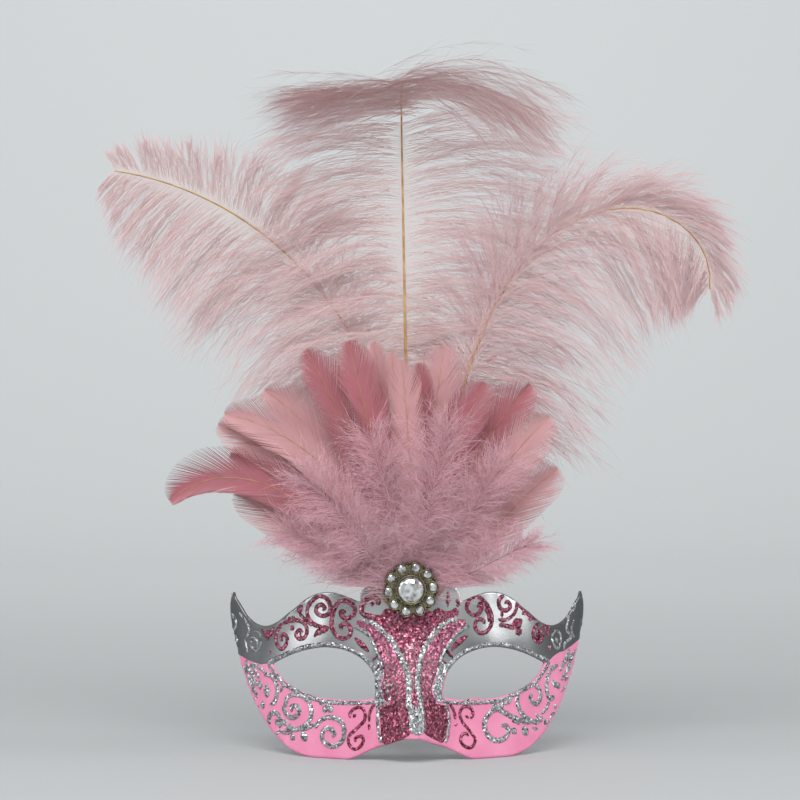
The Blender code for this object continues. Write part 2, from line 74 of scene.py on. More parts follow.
# %% A finish and its nodes
def set_sockets(finish, holder, values):
    for socket, value in values.items():
        if isinstance(value, bpy.types.NodeSocket):
            finish.node_tree.links.new(value, holder.inputs[socket])
        else:
            holder.inputs[socket].default_value = value


def new_finish(name, values):
    finish = bpy.data.materials.new(name)
    finish.use_nodes = True
    set_sockets(finish, finish.node_tree.nodes["Principled BSDF"], values)
    return finish


def add_node(finish, kind, values, stops=(), **settings):
    """One node. Values go to its sockets, stops to its colour ramp and settings to itself."""
    made = finish.node_tree.nodes.new(kind)
    for key, value in settings.items():
        setattr(made, key, value)
    set_sockets(finish, made, values)
    for index, (place, colour) in enumerate(stops):
        if index > 1:
            made.color_ramp.elements.new(place)
        made.color_ramp.elements[index].position = place
        made.color_ramp.elements[index].color = linear(colour)
    return made


def shade(finish, values):
    """Gives the finish's own shader these values and links."""
    set_sockets(finish, finish.node_tree.nodes["Principled BSDF"], values)


# %% [markdown]
# ## Camera, floor and light
# The mask was photographed from nearly straight in front with a long lens. It stands on a white
# table that runs up into a pale wall behind it. A swept sheet of card does that without a corner
# line. The light is a broad one over the front, with two softer ones at the sides and one that
# washes the wall, so that it is brighter than the table.

# %% The camera
VIEW_TURN = math.radians(-1.5)
VIEW_RISE = math.radians(0.6)
VIEW_DISTANCE = 1500 * MM
AIM = Vector((-5, 15, 178.75)) * MM + STAND
look = Vector((
    -math.sin(VIEW_TURN) * math.cos(VIEW_RISE),
    math.cos(VIEW_TURN) * math.cos(VIEW_RISE),
    -math.sin(VIEW_RISE),
))
camera_data = bpy.data.cameras.new("camera")
camera_data.lens = 135
camera_data.sensor_width = 36
camera_data.clip_end = 20
camera = bpy.data.objects.new("camera", camera_data)
camera.location = AIM - look * VIEW_DISTANCE
camera.rotation_euler = look.to_track_quat("-Z", "Y").to_euler()
bpy.context.collection.objects.link(camera)
bpy.context.scene.camera = camera
print("camera at", camera.location)

# %% A bmesh made into an object
def piece(name, bm, *finishes, smooth=True):
    mesh = bpy.data.meshes.new(name)
    bm.to_mesh(mesh)
    bm.free()
    for finish in finishes:
        mesh.materials.append(finish)
    if smooth:
        mesh.shade_smooth()
    made = bpy.data.objects.new(name, mesh)
    bpy.context.collection.objects.link(made)
    print(name, len(mesh.vertices), "vertices", len(mesh.polygons), "faces")
    return made


# %% The card that is table and wall
FLOOR_BACK = 1.5
FLOOR_FRONT = -2.6
SWEEP = 1.1
CARD_HALF = 4.0
CARD_HEIGHT = 3.0
card = new_finish("matt_white_card", {"Base Color": linear("B3B6B7"), "Roughness": 0.9})
bm = bmesh.new()
start = bm.verts.new((-CARD_HALF, FLOOR_FRONT, 0))
corner = bm.verts.new((-CARD_HALF, FLOOR_BACK, 0))
profile = [bm.edges.new((start, corner))]
spun = bmesh.ops.spin(
    bm, geom=[corner], cent=(0, FLOOR_BACK, SWEEP), axis=(1, 0, 0), angle=math.pi / 2, steps=24
)
top = [item for item in spun["geom_last"] if isinstance(item, bmesh.types.BMVert)]
raised = bmesh.ops.extrude_vert_indiv(bm, verts=top)
bmesh.ops.translate(bm, verts=raised["verts"], vec=(0, 0, CARD_HEIGHT))
swept = bmesh.ops.extrude_edge_only(bm, edges=bm.edges[:])
moved = [item for item in swept["geom"] if isinstance(item, bmesh.types.BMVert)]
bmesh.ops.translate(bm, verts=moved, vec=(2 * CARD_HALF, 0, 0))
backdrop = piece("backdrop", bm, card)

# %% The lights
def softbox(name, place, size, power, target=Vector((0, 0, 0.17))):
    data = bpy.data.lights.new(name, "AREA")
    data.shape = "RECTANGLE"
    data.size, data.size_y = size
    data.energy = power
    made = bpy.data.objects.new(name, data)
    made.location = place
    made.rotation_euler = (target - Vector(place)).to_track_quat("-Z", "Y").to_euler()
    bpy.context.collection.objects.link(made)


softbox("key_over_front", (-0.15, -1.15, 1.55), (1.6, 0.9), 26)
softbox("side_left", (-1.6, -0.5, 0.8), (0.9, 1.4), 9)
softbox("side_right", (1.6, -0.5, 0.8), (0.9, 1.4), 11)
softbox("wall_wash", (0, 0.9, 1.7), (3.0, 0.6), 37, Vector((0, 2.6, 1.1)))
world = bpy.data.worlds.new("studio_air")
world.use_nodes = True
world.node_tree.nodes["Background"].inputs["Color"].default_value = linear("CDCFD0")
world.node_tree.nodes["Background"].inputs["Strength"].default_value = 0.75
bpy.context.scene.world = world
bpy.context.scene.view_settings.view_transform = "Standard"
print("lights set")

# %% [markdown]
# ## The form of the face
# The shell bends round the head, leans back a little at the brow and rises to a soft ridge over the
# nose. It is one sheet, so a formula that says how deep the front lies at each place is enough, and
# the same formula later lays the paint lines and the glitter on the shell.

# %% How deep the front of the mask lies
HALF_WIDTH = 92 * MM
MASK_HEIGHT = 86 * MM
WALL = 2 * MM
WRAP_DEPTH = 58 * MM
WRAP_POWER = 2.2
BROW_LEAN = 8 * MM
NOSE_OUT = 17 * MM
NOSE_HALF = 21 * MM
NOSE_TOP = 0.93
NOSE_FOOT = 0.12


def smooth_step(value):
    value = min(max(value, 0.0), 1.0)
    return value * value * (3 - 2 * value)


def face_depth(x, z):
    across, up = abs(x) / HALF_WIDTH, z / MASK_HEIGHT
    ridge = math.cos(math.pi / 2 * min(abs(x) / NOSE_HALF, 1)) ** 2
    fullness = 1 - smooth_step((up - NOSE_FOOT) / (NOSE_TOP - NOSE_FOOT))
    return WRAP_DEPTH * across**WRAP_POWER + BROW_LEAN * up - NOSE_OUT * ridge * fullness


def on_face(x, z, proud=0.0):
    """A place on the mask's front, or standing proud of it along the surface's own normal."""
    near = 0.2 * MM
    slope_x = (face_depth(x + near, z) - face_depth(x - near, z)) / (2 * near)
    slope_z = (face_depth(x, z + near) - face_depth(x, z - near)) / (2 * near)
    outward = Vector((slope_x, -1, slope_z)).normalized()
    return STAND + Vector((x, face_depth(x, z), z)) + outward * proud


print("nose tip", on_face(0, 0.12 * MASK_HEIGHT), "temple", on_face(HALF_WIDTH, 70 * MM))

# %% [markdown]
# ## Drawing on the flat and bending it
# The outline with its two volutes and horns, the eye holes and each patch of glitter are drawn flat
# first, as closed curves that Blender fills. The fill is cut into small cells with bisect_plane,
# because only a mesh with many points can bend, and then every point moves onto the face.

# %% Outline of the mask and of an eye hole
OUTLINE = (
    # across, up, corner: shares of the half width and the height, from the brow to the nose
    (0.140, 0.980, False), (0.212, 1.000, False), (0.250, 0.990, False), (0.271, 0.955, False),
    (0.274, 0.907, True), (0.352, 0.940, False), (0.440, 0.960, False), (0.536, 0.936, False),
    (0.651, 0.841, False), (0.766, 0.749, False), (0.820, 0.742, False), (0.883, 0.778, False),
    (0.940, 0.860, False), (0.985, 0.926, True), (0.999, 0.831, False), (0.967, 0.643, False),
    (0.904, 0.414, False), (0.823, 0.227, False), (0.710, 0.080, False), (0.613, 0.016, False),
    (0.545, 0.000, True), (0.335, 0.000, True), (0.270, 0.030, False), (0.150, 0.093, False),
)
OUTLINE_TOP = 0.977
OUTLINE_ARCH = 0.148
EYE_INNER = 16.4 * MM
EYE_WIDTH = 52.8 * MM
EYE_HEIGHT = 25.6 * MM
EYE_BOTTOM = 29.4 * MM
EYE_OUTLINE = (
    (0.000, 0.063, True), (0.006, 0.258, False), (0.042, 0.520, False), (0.116, 0.734, False),
    (0.240, 0.905, False), (0.456, 1.000, False), (0.642, 0.949, False), (0.767, 0.863, False),
    (0.890, 0.742, False), (1.000, 0.609, True), (0.930, 0.395, False), (0.830, 0.223, False),
    (0.582, 0.039, False), (0.398, 0.000, False), (0.153, 0.012, False),
)
half = [(x * HALF_WIDTH, z * MASK_HEIGHT, corner) for x, z, corner in OUTLINE]
mirrored = [(-x, z, corner) for x, z, corner in reversed(half)]
top_point = (0, OUTLINE_TOP * MASK_HEIGHT, False)
arch_point = (0, OUTLINE_ARCH * MASK_HEIGHT, False)
mask_outline = [top_point, *half, arch_point, *mirrored]
right_eye = [
    (EYE_INNER + x * EYE_WIDTH, EYE_BOTTOM + z * EYE_HEIGHT, corner) for x, z, corner in EYE_OUTLINE
]
left_eye = [(-x, z, corner) for x, z, corner in reversed(right_eye)]
print(len(mask_outline), "outline points")

# %% Filled flat shapes
def flat_fill(loops, resolution):
    """A bmesh in the x and y of the drawing, filled between closed Bezier loops."""
    curve = bpy.data.curves.new("drawing", "CURVE")
    curve.dimensions = "2D"
    curve.fill_mode = "BOTH"
    for loop in loops:
        spline = curve.splines.new("BEZIER")
        spline.bezier_points.add(len(loop) - 1)
        for knot, (x, z, corner) in zip(spline.bezier_points, loop):
            knot.co = (x, z, 0)
            knot.handle_left_type = knot.handle_right_type = "VECTOR" if corner else "AUTO"
        spline.use_cyclic_u = True
        spline.resolution_u = resolution
    drawn = bpy.data.objects.new("drawing", curve)
    bpy.context.collection.objects.link(drawn)
    bpy.context.view_layer.update()
    evaluated = drawn.evaluated_get(bpy.context.evaluated_depsgraph_get())
    mesh = bpy.data.meshes.new_from_object(evaluated)
    bm = bmesh.new()
    bm.from_mesh(mesh)
    bmesh.ops.remove_doubles(bm, verts=bm.verts, dist=0.01 * MM)
    bpy.data.objects.remove(drawn)
    bpy.data.meshes.remove(mesh)
    return bm


SNAP = 0.04 * MM


def cut(bm, faces, place, normal):
    edges = {edge for face in faces for edge in face.edges}
    verts = {vert for face in faces for vert in face.verts}
    geom = [*faces, *edges, *verts]
    bmesh.ops.bisect_plane(bm, geom=geom, dist=SNAP, plane_co=place, plane_no=normal)


def cut_to_cells(bm, cell):
    """Cuts a flat fill into square cells, and joins the scraps of triangle within each."""
    lines = []
    for axis, normal in ((0, (1, 0, 0)), (1, (0, 1, 0))):
        lowest = min(vert.co[axis] for vert in bm.verts)
        highest = max(vert.co[axis] for vert in bm.verts)
        count = int((highest - lowest) / cell)
        lines.append([lowest + cell * step for step in range(1, count + 1)])
        for line in lines[axis]:
            cut(bm, bm.faces[:], Vector((line, line, 0)), normal)
    scraps = []
    for edge in bm.edges:
        one, two = (vert.co for vert in edge.verts)
        kept = edge.seam or edge.is_boundary
        for axis in (0, 1):
            step = round((one[axis] - lines[axis][0]) / cell)
            line = lines[axis][0] + cell * step
            kept = kept or max(abs(one[axis] - line), abs(two[axis] - line)) < 2 * SNAP
        if not kept:
            scraps.append(edge)
    bmesh.ops.dissolve_edges(bm, edges=scraps, use_verts=True, use_face_split=False)
    bmesh.ops.remove_doubles(bm, verts=bm.verts, dist=SNAP)
    bmesh.ops.dissolve_degenerate(bm, edges=bm.edges, dist=SNAP)
    bmesh.ops.recalc_face_normals(bm, faces=bm.faces)


def chamfer_ring(bm, width):
    """Sets a ring of faces inside every border and marks where it ends."""
    for edge in bm.edges:
        edge.seam = False
    bmesh.ops.inset_region(
        bm, faces=bm.faces[:], thickness=width, use_boundary=True, use_even_offset=True
    )
    rim = {vert for vert in bm.verts if vert.is_boundary}
    for edge in bm.edges:
        border = [face for face in edge.link_faces if any(vert in rim for vert in face.verts)]
        edge.seam = len(border) == 1 and not any(vert in rim for vert in edge.verts)


def face_forward(bm):
    """Turns a sheet that lies on the face so that its front looks out."""
    if sum(face.normal.y * face.calc_area() for face in bm.faces) > 0:
        bmesh.ops.reverse_faces(bm, faces=bm.faces)


# %% [markdown]
# ## Pink paint, silver foil and bare plastic
# Such a mask is vacuum-formed, sprayed pink with satin acrylic, and gilded over the brow with a
# silver transfer foil. Inside, the plastic stays bare. The three are finishes of one sheet, and the
# sheet is cut along the edge of the foil so that the border is crisp.

# %% Satin acrylic paint, sprayed: soft gloss, with a faint cloudiness from the spray
PAINT_CLOUD = 14 * MM
SPRAY_GRAIN = 0.45 * MM
paint = new_finish("satin_pink_acrylic_paint", {
    "Roughness": 0.42, "Coat Weight": 0.15, "Coat Roughness": 0.25,
})
place = add_node(paint, "ShaderNodeTexCoord", {}).outputs["Object"]
cloud = add_node(paint, "ShaderNodeTexNoise", {
    "Vector": place, "Scale": 1 / PAINT_CLOUD, "Detail": 3,
})
tint = add_node(
    paint, "ShaderNodeValToRGB", {"Fac": cloud.outputs["Fac"]}, [(0.3, "E683A9"), (0.7, "F096B8")]
)
grain = add_node(paint, "ShaderNodeTexNoise", {
    "Vector": place, "Scale": 1 / SPRAY_GRAIN, "Detail": 2,
})
relief = add_node(paint, "ShaderNodeBump", {
    "Height": grain.outputs["Fac"], "Strength": 0.12, "Distance": 0.1 * MM,
})
shade(paint, {"Base Color": tint.outputs["Color"], "Normal": relief.outputs["Normal"]})

# %% Silver transfer foil, pressed on by hand: a mirror with creases, dull where it was rubbed; dark reflections are painted into its colour
FOIL_WAVE = 34 * MM
FOIL_CREASE = 2.6 * MM
foil = new_finish("silver_transfer_foil", {"Metallic": 1.0})
place = add_node(foil, "ShaderNodeTexCoord", {}).outputs["Object"]
# This noise sets the roughness and the large waves, and also where dark reflections are painted
# into the colour.
rubbed = add_node(foil, "ShaderNodeTexNoise", {
    "Vector": place, "Scale": 1 / FOIL_WAVE, "Detail": 1.5,
})
dulled = add_node(foil, "ShaderNodeMapRange", {
    "Value": rubbed.outputs["Fac"], "From Min": 0.35, "From Max": 0.7, "To Min": 0.14,
    "To Max": 0.3,
})
# Painted reflection: the foil's colour runs from dark grey to near white with the noise, standing
# in for darker surroundings mirrored in it.
painted_dark_reflections = add_node(
    foil, "ShaderNodeValToRGB", {"Fac": rubbed.outputs["Fac"]}, [(0.36, "96989A"), (0.6, "DCDEDF")]
)
apart = add_node(foil, "ShaderNodeSeparateXYZ", {"Vector": place})
# Painted reflection: towards the outer brow the foil's colour is mixed up to 0.6 of the way to dark
# grey.
outward = add_node(foil, "ShaderNodeMath", {0: apart.outputs["X"]}, operation="ABSOLUTE")
outer_brow_reflection_share = add_node(foil, "ShaderNodeMapRange", {
    "Value": outward.outputs["Value"], "From Min": 40 * MM, "From Max": 66 * MM,
    "To Min": 0.0, "To Max": 0.6,
})
foil_with_painted_reflections = add_node(foil, "ShaderNodeMix", {
    0: outer_brow_reflection_share.outputs["Result"], 6: painted_dark_reflections.outputs["Color"], 7: linear("6A6B6C"),
}, data_type="RGBA")
wave = add_node(foil, "ShaderNodeBump", {
    "Height": rubbed.outputs["Fac"], "Strength": 0.5, "Distance": 2.4 * MM,
})
fine = add_node(foil, "ShaderNodeTexNoise", {
    "Vector": place, "Scale": 1 / FOIL_CREASE, "Detail": 3,
})
crease = add_node(foil, "ShaderNodeBump", {
    "Height": fine.outputs["Fac"], "Strength": 0.12, "Distance": 0.12 * MM,
    "Normal": wave.outputs["Normal"],
})
shade(foil, {
    "Base Color": foil_with_painted_reflections.outputs[2], "Roughness": dulled.outputs["Result"],
    "Normal": crease.outputs["Normal"],
})

# %% Bare ABS, vacuum-formed: dull and faintly grained, with faint pink flecks of overspray
ABS_SPECK = 3 * MM
bare = new_finish("bare_white_abs", {"Roughness": 0.55})
place = add_node(bare, "ShaderNodeTexCoord", {}).outputs["Object"]
speck = add_node(bare, "ShaderNodeTexNoise", {"Vector": place, "Scale": 1 / ABS_SPECK, "Detail": 5})
tint = add_node(
    bare, "ShaderNodeValToRGB", {"Fac": speck.outputs["Fac"]}, [(0.4, "E7DFDD"), (0.75, "DCC3C8")]
)
relief = add_node(bare, "ShaderNodeBump", {
    "Height": speck.outputs["Fac"], "Strength": 0.3, "Distance": 0.2 * MM,
})
shade(bare, {"Base Color": tint.outputs["Color"], "Normal": relief.outputs["Normal"]})
print("shell finishes:", paint.name, foil.name, bare.name)

# %% The shell as a flat sheet with a chamfered rim
CELL = 1.6 * MM
CHAMFER = 0.6 * MM
FOIL_EDGE = (
    (-95, 49), (-88, 48), (-85, 47), (-82, 45.5), (-78, 44.5), (-75, 44), (-71, 45), (-60, 43),
    (60, 43), (71, 45.5), (74, 48), (77, 49.5), (80, 50), (84, 52), (88, 54.5), (95, 58),
)
bm = flat_fill([mask_outline, left_eye, right_eye], 8)
chamfer_ring(bm, CHAMFER)
cut_to_cells(bm, CELL)
for x, z in FOIL_EDGE:
    cut(bm, bm.faces[:], (x * MM, 0, 0), (1, 0, 0))
for (x, z), (next_x, next_z) in zip(FOIL_EDGE, FOIL_EDGE[1:]):
    within = [face for face in bm.faces if x * MM < face.calc_center_median().x < next_x * MM]
    cut(bm, within, (x * MM, z * MM, 0), (z - next_z, next_x - x, 0))
print("flat sheet of", len(bm.faces), "faces")

# %% The sheet bent onto the face, with its wall
def foil_edge_height(x):
    for (one, low), (two, high) in zip(FOIL_EDGE, FOIL_EDGE[1:]):
        if one * MM <= x <= two * MM:
            return (low + (high - low) * (x / MM - one) / (two - one)) * MM
    return 0


for face in bm.faces:
    middle = face.calc_center_median()
    face.material_index = int(middle.y > foil_edge_height(middle.x))
for vert in bm.verts:
    vert.co = on_face(vert.co.x, vert.co.y, -CHAMFER if vert.is_boundary else 0)
bm.normal_update()
face_forward(bm)
shell = piece("shell", bm, paint, foil, bare)
wall = shell.modifiers.new("wall", "SOLIDIFY")
wall.thickness = WALL - CHAMFER
wall.offset = -1
wall.material_offset = 2
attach(shell, "root")
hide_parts("mask_shell")

# %% [markdown]
# ## How a feather is built up
# Every feather here is a shaft with barbs on both sides. The barbs of a wing feather hook together
# into a blade, those of an ostrich plume hang loose, and those of down are short and tangled. A
# barb could be painted on a sheet with transparency, but a sheet looks like paper from the side. So
# each barb is a narrow ribbon of its own: a line of points is extruded once, sideways.

# %% The line of a shaft
CURL_FROM = 0.78
CURL_RUN = 0.3
PATH_STEPS = 160


def shaft_path(foot, length, leans, turn, pitch=0.0, curl=0.0, lane=0.0, flat=0.0, run=1.0):
    """Places up a shaft, each with its direction and the way its front looks."""
    place, path = Vector(foot), []
    for step in range(PATH_STEPS + 1):
        share = step / PATH_STEPS
        freed = smooth_step((share * length - flat) / run)
        lean = math.radians(leans[0] + (leans[1] - leans[0]) * share**turn)
        back = math.radians(pitch * freed - curl * smooth_step((share - CURL_FROM) / CURL_RUN))
        sideways, upright = math.sin(lean), math.cos(lean)
        along = Vector((sideways * math.cos(back), math.sin(back), upright * math.cos(back)))
        facing = Vector((sideways * math.sin(back), -math.cos(back), upright * math.sin(back)))
        path.append((STAND + place + Vector((0, lane * freed, 0)), along, facing))
        place = place + along * (length / PATH_STEPS)
    return path


def station(path, share):
    spot = min(max(share, 0), 0.9999) * PATH_STEPS
    index = int(spot)
    return [low.lerp(high, spot - index) for low, high in zip(path[index], path[index + 1])]


# %% Round tubes along lines: quills, paint lines and wires
def tubes(name, lines, finish, ring=1):
    """Tubes along lines of (point, radius), made by a bevelled curve and turned into a mesh."""
    curve = bpy.data.curves.new(name, "CURVE")
    curve.dimensions = "3D"
    curve.bevel_depth = 1.0
    curve.bevel_resolution = ring
    curve.use_fill_caps = True
    for line in lines:
        spline = curve.splines.new("POLY")
        spline.points.add(len(line) - 1)
        for knot, (point, radius) in zip(spline.points, line):
            knot.co = (*point, 1)
            knot.radius = radius
    drawn = bpy.data.objects.new(name, curve)
    bpy.context.collection.objects.link(drawn)
    bpy.context.view_layer.update()
    evaluated = drawn.evaluated_get(bpy.context.evaluated_depsgraph_get())
    mesh = bpy.data.meshes.new_from_object(evaluated)
    bpy.data.objects.remove(drawn)
    bm = bmesh.new()
    bm.from_mesh(mesh)
    bpy.data.meshes.remove(mesh)
    return piece(name, bm, finish)


# %% Ribbons along lines: barbs
THIN_END = 0.2


def ribbons(name, strands, finish):
    """A mesh of narrow ribbons. A strand is its points, width, sideways way and tone."""
    bm = bmesh.new()
    widening = bm.verts.layers.float_vector.new("widening")
    tone_of = bm.verts.layers.float.new("tone")
    reach_of = bm.verts.layers.float.new("reach")
    for points, width, sideways, tone in strands:
        before = None
        for index, point in enumerate(points):
            share = index / (len(points) - 1)
            vert = bm.verts.new(point)
            vert[widening] = sideways * width * (1 - (1 - THIN_END) * share**2)
            vert[tone_of] = tone
            vert[reach_of] = share
            if before:
                bm.edges.new((before, vert))
            before = vert
    widened = bmesh.ops.extrude_edge_only(bm, edges=bm.edges[:])
    for item in widened["geom"]:
        if isinstance(item, bmesh.types.BMVert):
            item.co += item[widening]
    return piece(name, bm, finish)


# %% One barb: it leaves the shaft at an angle and hangs by its end
DOWNWARD = Vector((0, 0, -1))


def barb_line(start, way, reach, droop, marks, wander=0.0, draw=None):
    """Points along a barb. It wanders by up to this share of its reach."""
    points, place, done = [start], start, 0.0
    for mark in marks:
        heading = (way + DOWNWARD * droop * (done + mark) / 2).normalized()
        place = place + heading * reach * (mark - done)
        if wander:
            aside = Vector((draw.uniform(-1, 1), draw.uniform(-1, 1), draw.uniform(-1, 1)))
            place = place + aside * wander * reach * (mark - done)
        points.append(place)
        done = mark
    return points


# %% [markdown]
# ## Ostrich plumes
# An ostrich barb is long and limp, and its own barbules don't hook, so a plume is a cloud of loose
# threads that hang. Neighbouring barbs cling together in locks. Each lock here is turned, lifted
# and toned as a whole, and a draw of its own then sets each thread slightly apart.

# %% Dyed ostrich: matt keratin threads, dusty pink, a little darker and more mauve towards the ends of the barbs
ostrich = new_finish("dyed_ostrich_barbs", {
    "Roughness": 0.75, "Sheen Weight": 0.25, "Sheen Roughness": 0.5, "Specular IOR Level": 0.3,
})
tone = add_node(ostrich, "ShaderNodeAttribute", {}, attribute_name="tone").outputs["Fac"]
reach = add_node(ostrich, "ShaderNodeAttribute", {}, attribute_name="reach").outputs["Fac"]
root = add_node(
    ostrich, "ShaderNodeValToRGB", {"Fac": tone},
    [(0.0, "C9989A"), (1.0, "EFE0DA"), (0.5, "DCBFBA")],
)
end = add_node(
    ostrich, "ShaderNodeValToRGB", {"Fac": tone},
    [(0.0, "C095A1"), (1.0, "E6D6D8"), (0.5, "D2B2BA")],
)
mixed = add_node(ostrich, "ShaderNodeMix", {
    0: reach, 6: root.outputs["Color"], 7: end.outputs["Color"],
}, data_type="RGBA")
shade(ostrich, {"Base Color": mixed.outputs[2]})

# %% Quill horn: tan keratin, smooth, darker in streaks
HORN_STREAK = 5 * MM
quill_horn = new_finish("tan_quill_keratin", {"Roughness": 0.4})
place = add_node(quill_horn, "ShaderNodeTexCoord", {}).outputs["Object"]
streak = add_node(quill_horn, "ShaderNodeTexNoise", {"Vector": place, "Scale": 1 / HORN_STREAK})
tint = add_node(
    quill_horn, "ShaderNodeValToRGB", {"Fac": streak.outputs["Fac"]},
    [(0.35, "A87F4C"), (0.7, "C9A671")],
)
shade(quill_horn, {"Base Color": tint.outputs["Color"]})

# %% Where the plumes stand and how they bend
FOOT_HEIGHT = 78 * MM
GAP = 0.35 * MM
SHAFT = 2.2 * MM
QUILL = 0.8 * MM
PLUME_FEET = 5 * MM
PLUME_LENGTH = 300 * MM
PLUME_PITCH = 2.5
PLUME_LANE = 5 * MM
LANE_RUN = 75 * MM
PLUME_BARE = 0.16
SHAFT_TAPER = 0.7
BARB_LENGTH = 66 * MM
UPPER_HOLD = 0.15  # how much less a barb on the upper side hangs
LOCKS_FULL = 0.25  # share of the shaft over which the barbs reach their full length
LOCKS_SHORTEN = 0.55  # from where they get shorter towards the tip
PLUMES = (
    # name, foot, length, lean foot, lean tip, turn, lane, curl, droop, covered up to, tone,
    # then left and right: reach, taper, angle to the shaft at its foot and at its tip
    ("plume_left", -1, 0.96, 6, -82, 1.2, 2, 0, 0.9, 0.62, 0.02,
     (0.98, 0.80, 76, 42), (0.56, 0.72, 76, 60)),
    ("plume_centre", 0, 0.93, -1, -1, 1.0, 1, 120, 0.65, 0.0, 0.08,
     (1.06, 0.10, 80, 86), (1.26, 0.05, 76, 72)),
    ("plume_right", 1, 1.02, 10, 190, 3.3, 0, 0, 0.9, 0.74, -0.16,
     (0.64, 0.60, 44, 24), (1.06, 0.84, 74, 42)),
)
PLUME_FOOT_Y = face_depth(0, FOOT_HEIGHT) - GAP - SHAFT / 2

# %% Barbs of one plume, each with its loose barbules
PLUME_BARBS = 620  # on each side of a shaft
PLUME_BARBULES = 15  # on each barb
BARB_WIDTH = 0.15 * MM
BARBULE_WIDTH = 0.12 * MM
BARBULE_LENGTH = 15 * MM
LONG_BARB = 40 * MM  # barbs that are shorter than this have shorter barbules too
SHORTEST_BARB = 5 * MM
CROSSING_BARB = 22 * MM
CROSSING_PROUD = 1.6 * MM
PLUME_MARKS = (0.1, 0.22, 0.36, 0.5, 0.64, 0.78, 0.9, 1.0)
BARBULE_MARKS = (0.4, 0.75, 1.0)
LOCK_NARROW, LOCK_WIDE = 0.008, 0.026  # shares of the shaft that one lock takes up
LOCK_PULL = 6  # degrees by which the barbs of a lock lean to each other
CROSSING = 0.45  # share of the barbs that lie over the shaft where it is covered
BACKWARDS = 0.2  # how far the lowest barbs lean behind the wing feathers
CLUMP_FROM = 0.86  # where a curled tip turns into a clump
CLUMP_HEIGHT = 331 * MM
CLUMP_SPREAD = 14 * MM  # how far a barb of the clump may start beside the shaft
CLUMP_FLAT = 0.4  # what the clump keeps of the rise of its shaft
CLUMP_RISES, CLUMP_FALLS = 0.2, -0.02  # how its two sides leave the shaft
CLUMP_LIMP, CLUMP_STIFF = 1.6, -0.5  # how much more or less those two sides hang
SHAFT_SHOWN = 0.96  # share of a curled shaft that is not lost in its clump


def on_line(points, share):
    """A place along a line of points, and the way the line runs there."""
    spot = min(share, 0.999) * (len(points) - 1)
    index = int(spot)
    return points[index].lerp(points[index + 1], spot - index), points[index + 1] - points[index]


def stray(draw, amount):
    return Vector((draw.gauss(0, 1), draw.gauss(0, 1), draw.gauss(0, 1))) * amount


def plume_barbs(path, sides, curl, droop, covered, paler, draw):
    strands = []
    for side, (side_reach, taper, foot_angle, tip_angle) in zip((-1, 1), sides):
        lock_end = 0.0
        for index in range(PLUME_BARBS):
            share = PLUME_BARE + (1 - PLUME_BARE) * (index + draw.random()) / PLUME_BARBS
            if share > lock_end:
                lock_start, lock_end = share, share + draw.uniform(LOCK_NARROW, LOCK_WIDE)
                swing, lift, pale = draw.gauss(0, 2.6), draw.gauss(0, 0.09), draw.gauss(0, 0.13)
                longer = draw.uniform(0.9, 1.1)
            place, along, facing = station(path, share)
            across = along.cross(facing) * side
            inside = (share - lock_start) / (lock_end - lock_start) - 0.5
            angle = foot_angle + (tip_angle - foot_angle) * share**3
            angle = math.radians(angle + swing + LOCK_PULL * inside + draw.gauss(0, 4))
            grown = smooth_step((share - PLUME_BARE + 0.06) / LOCKS_FULL)
            late = max((share - LOCKS_SHORTEN) / (1 - LOCKS_SHORTEN), 0) ** 2
            reach = side_reach * BARB_LENGTH * grown * (1 - taper * late) * longer
            reach = max(reach * draw.triangular(0.6, 1.1, 1.0), SHORTEST_BARB)
            pushed_back = BACKWARDS * (1 - smooth_step((share - 0.3) / 0.3))
            if share < covered and draw.random() < CROSSING:
                angle = math.radians(draw.uniform(8, 40))
                place = place - across * draw.uniform(0.5, 3) * MM + facing * CROSSING_PROUD
                reach = max(reach, CROSSING_BARB)
            way = along * math.cos(angle) + across * math.sin(angle)
            way += facing * (lift - pushed_back + draw.gauss(0, 0.05))
            clump = curl > 0 and share > CLUMP_FROM
            if clump:
                place = place - across * draw.uniform(0, CLUMP_SPREAD)
                place.z = CLUMP_HEIGHT + CLUMP_FLAT * (place.z - CLUMP_HEIGHT)
                place.z += draw.gauss(0, 3.5) * MM
                way.z += draw.uniform(-0.12, 0.06) + (CLUMP_RISES if side > 0 else CLUMP_FALLS)
            hang = droop * (1 - UPPER_HOLD * max(across.z, 0)) * (1 - 0.5 * share**6)
            limp = (CLUMP_LIMP if side > 0 else CLUMP_STIFF) * clump
            hang *= draw.uniform(0.75, 1.25) * (1 + limp)
            points = barb_line(place, way, reach, hang, PLUME_MARKS, 0.035, draw)
            tone = 0.3 + paler + 0.35 * smooth_step(share / 0.8) + pale + draw.gauss(0, 0.12)
            tone = min(max(tone - 0.3 * clump, 0), 1)
            strands.append((points, BARB_WIDTH, way.cross(facing).normalized(), tone))
            for _ in range(PLUME_BARBULES * (1 + 2 * clump)):
                out = 0.04 + 0.96 * draw.random() ** 0.8
                root, heading = on_line(points, out)
                off = (heading.normalized() + stray(draw, 0.2)).normalized()
                length = BARBULE_LENGTH * draw.uniform(0.5, 1.2) * min(1, reach / LONG_BARB)
                ends = barb_line(root, off, length, 0.35, BARBULE_MARKS, 0.05, draw)
                strands.append((ends, BARBULE_WIDTH, off.cross(facing).normalized(), tone))
    return strands


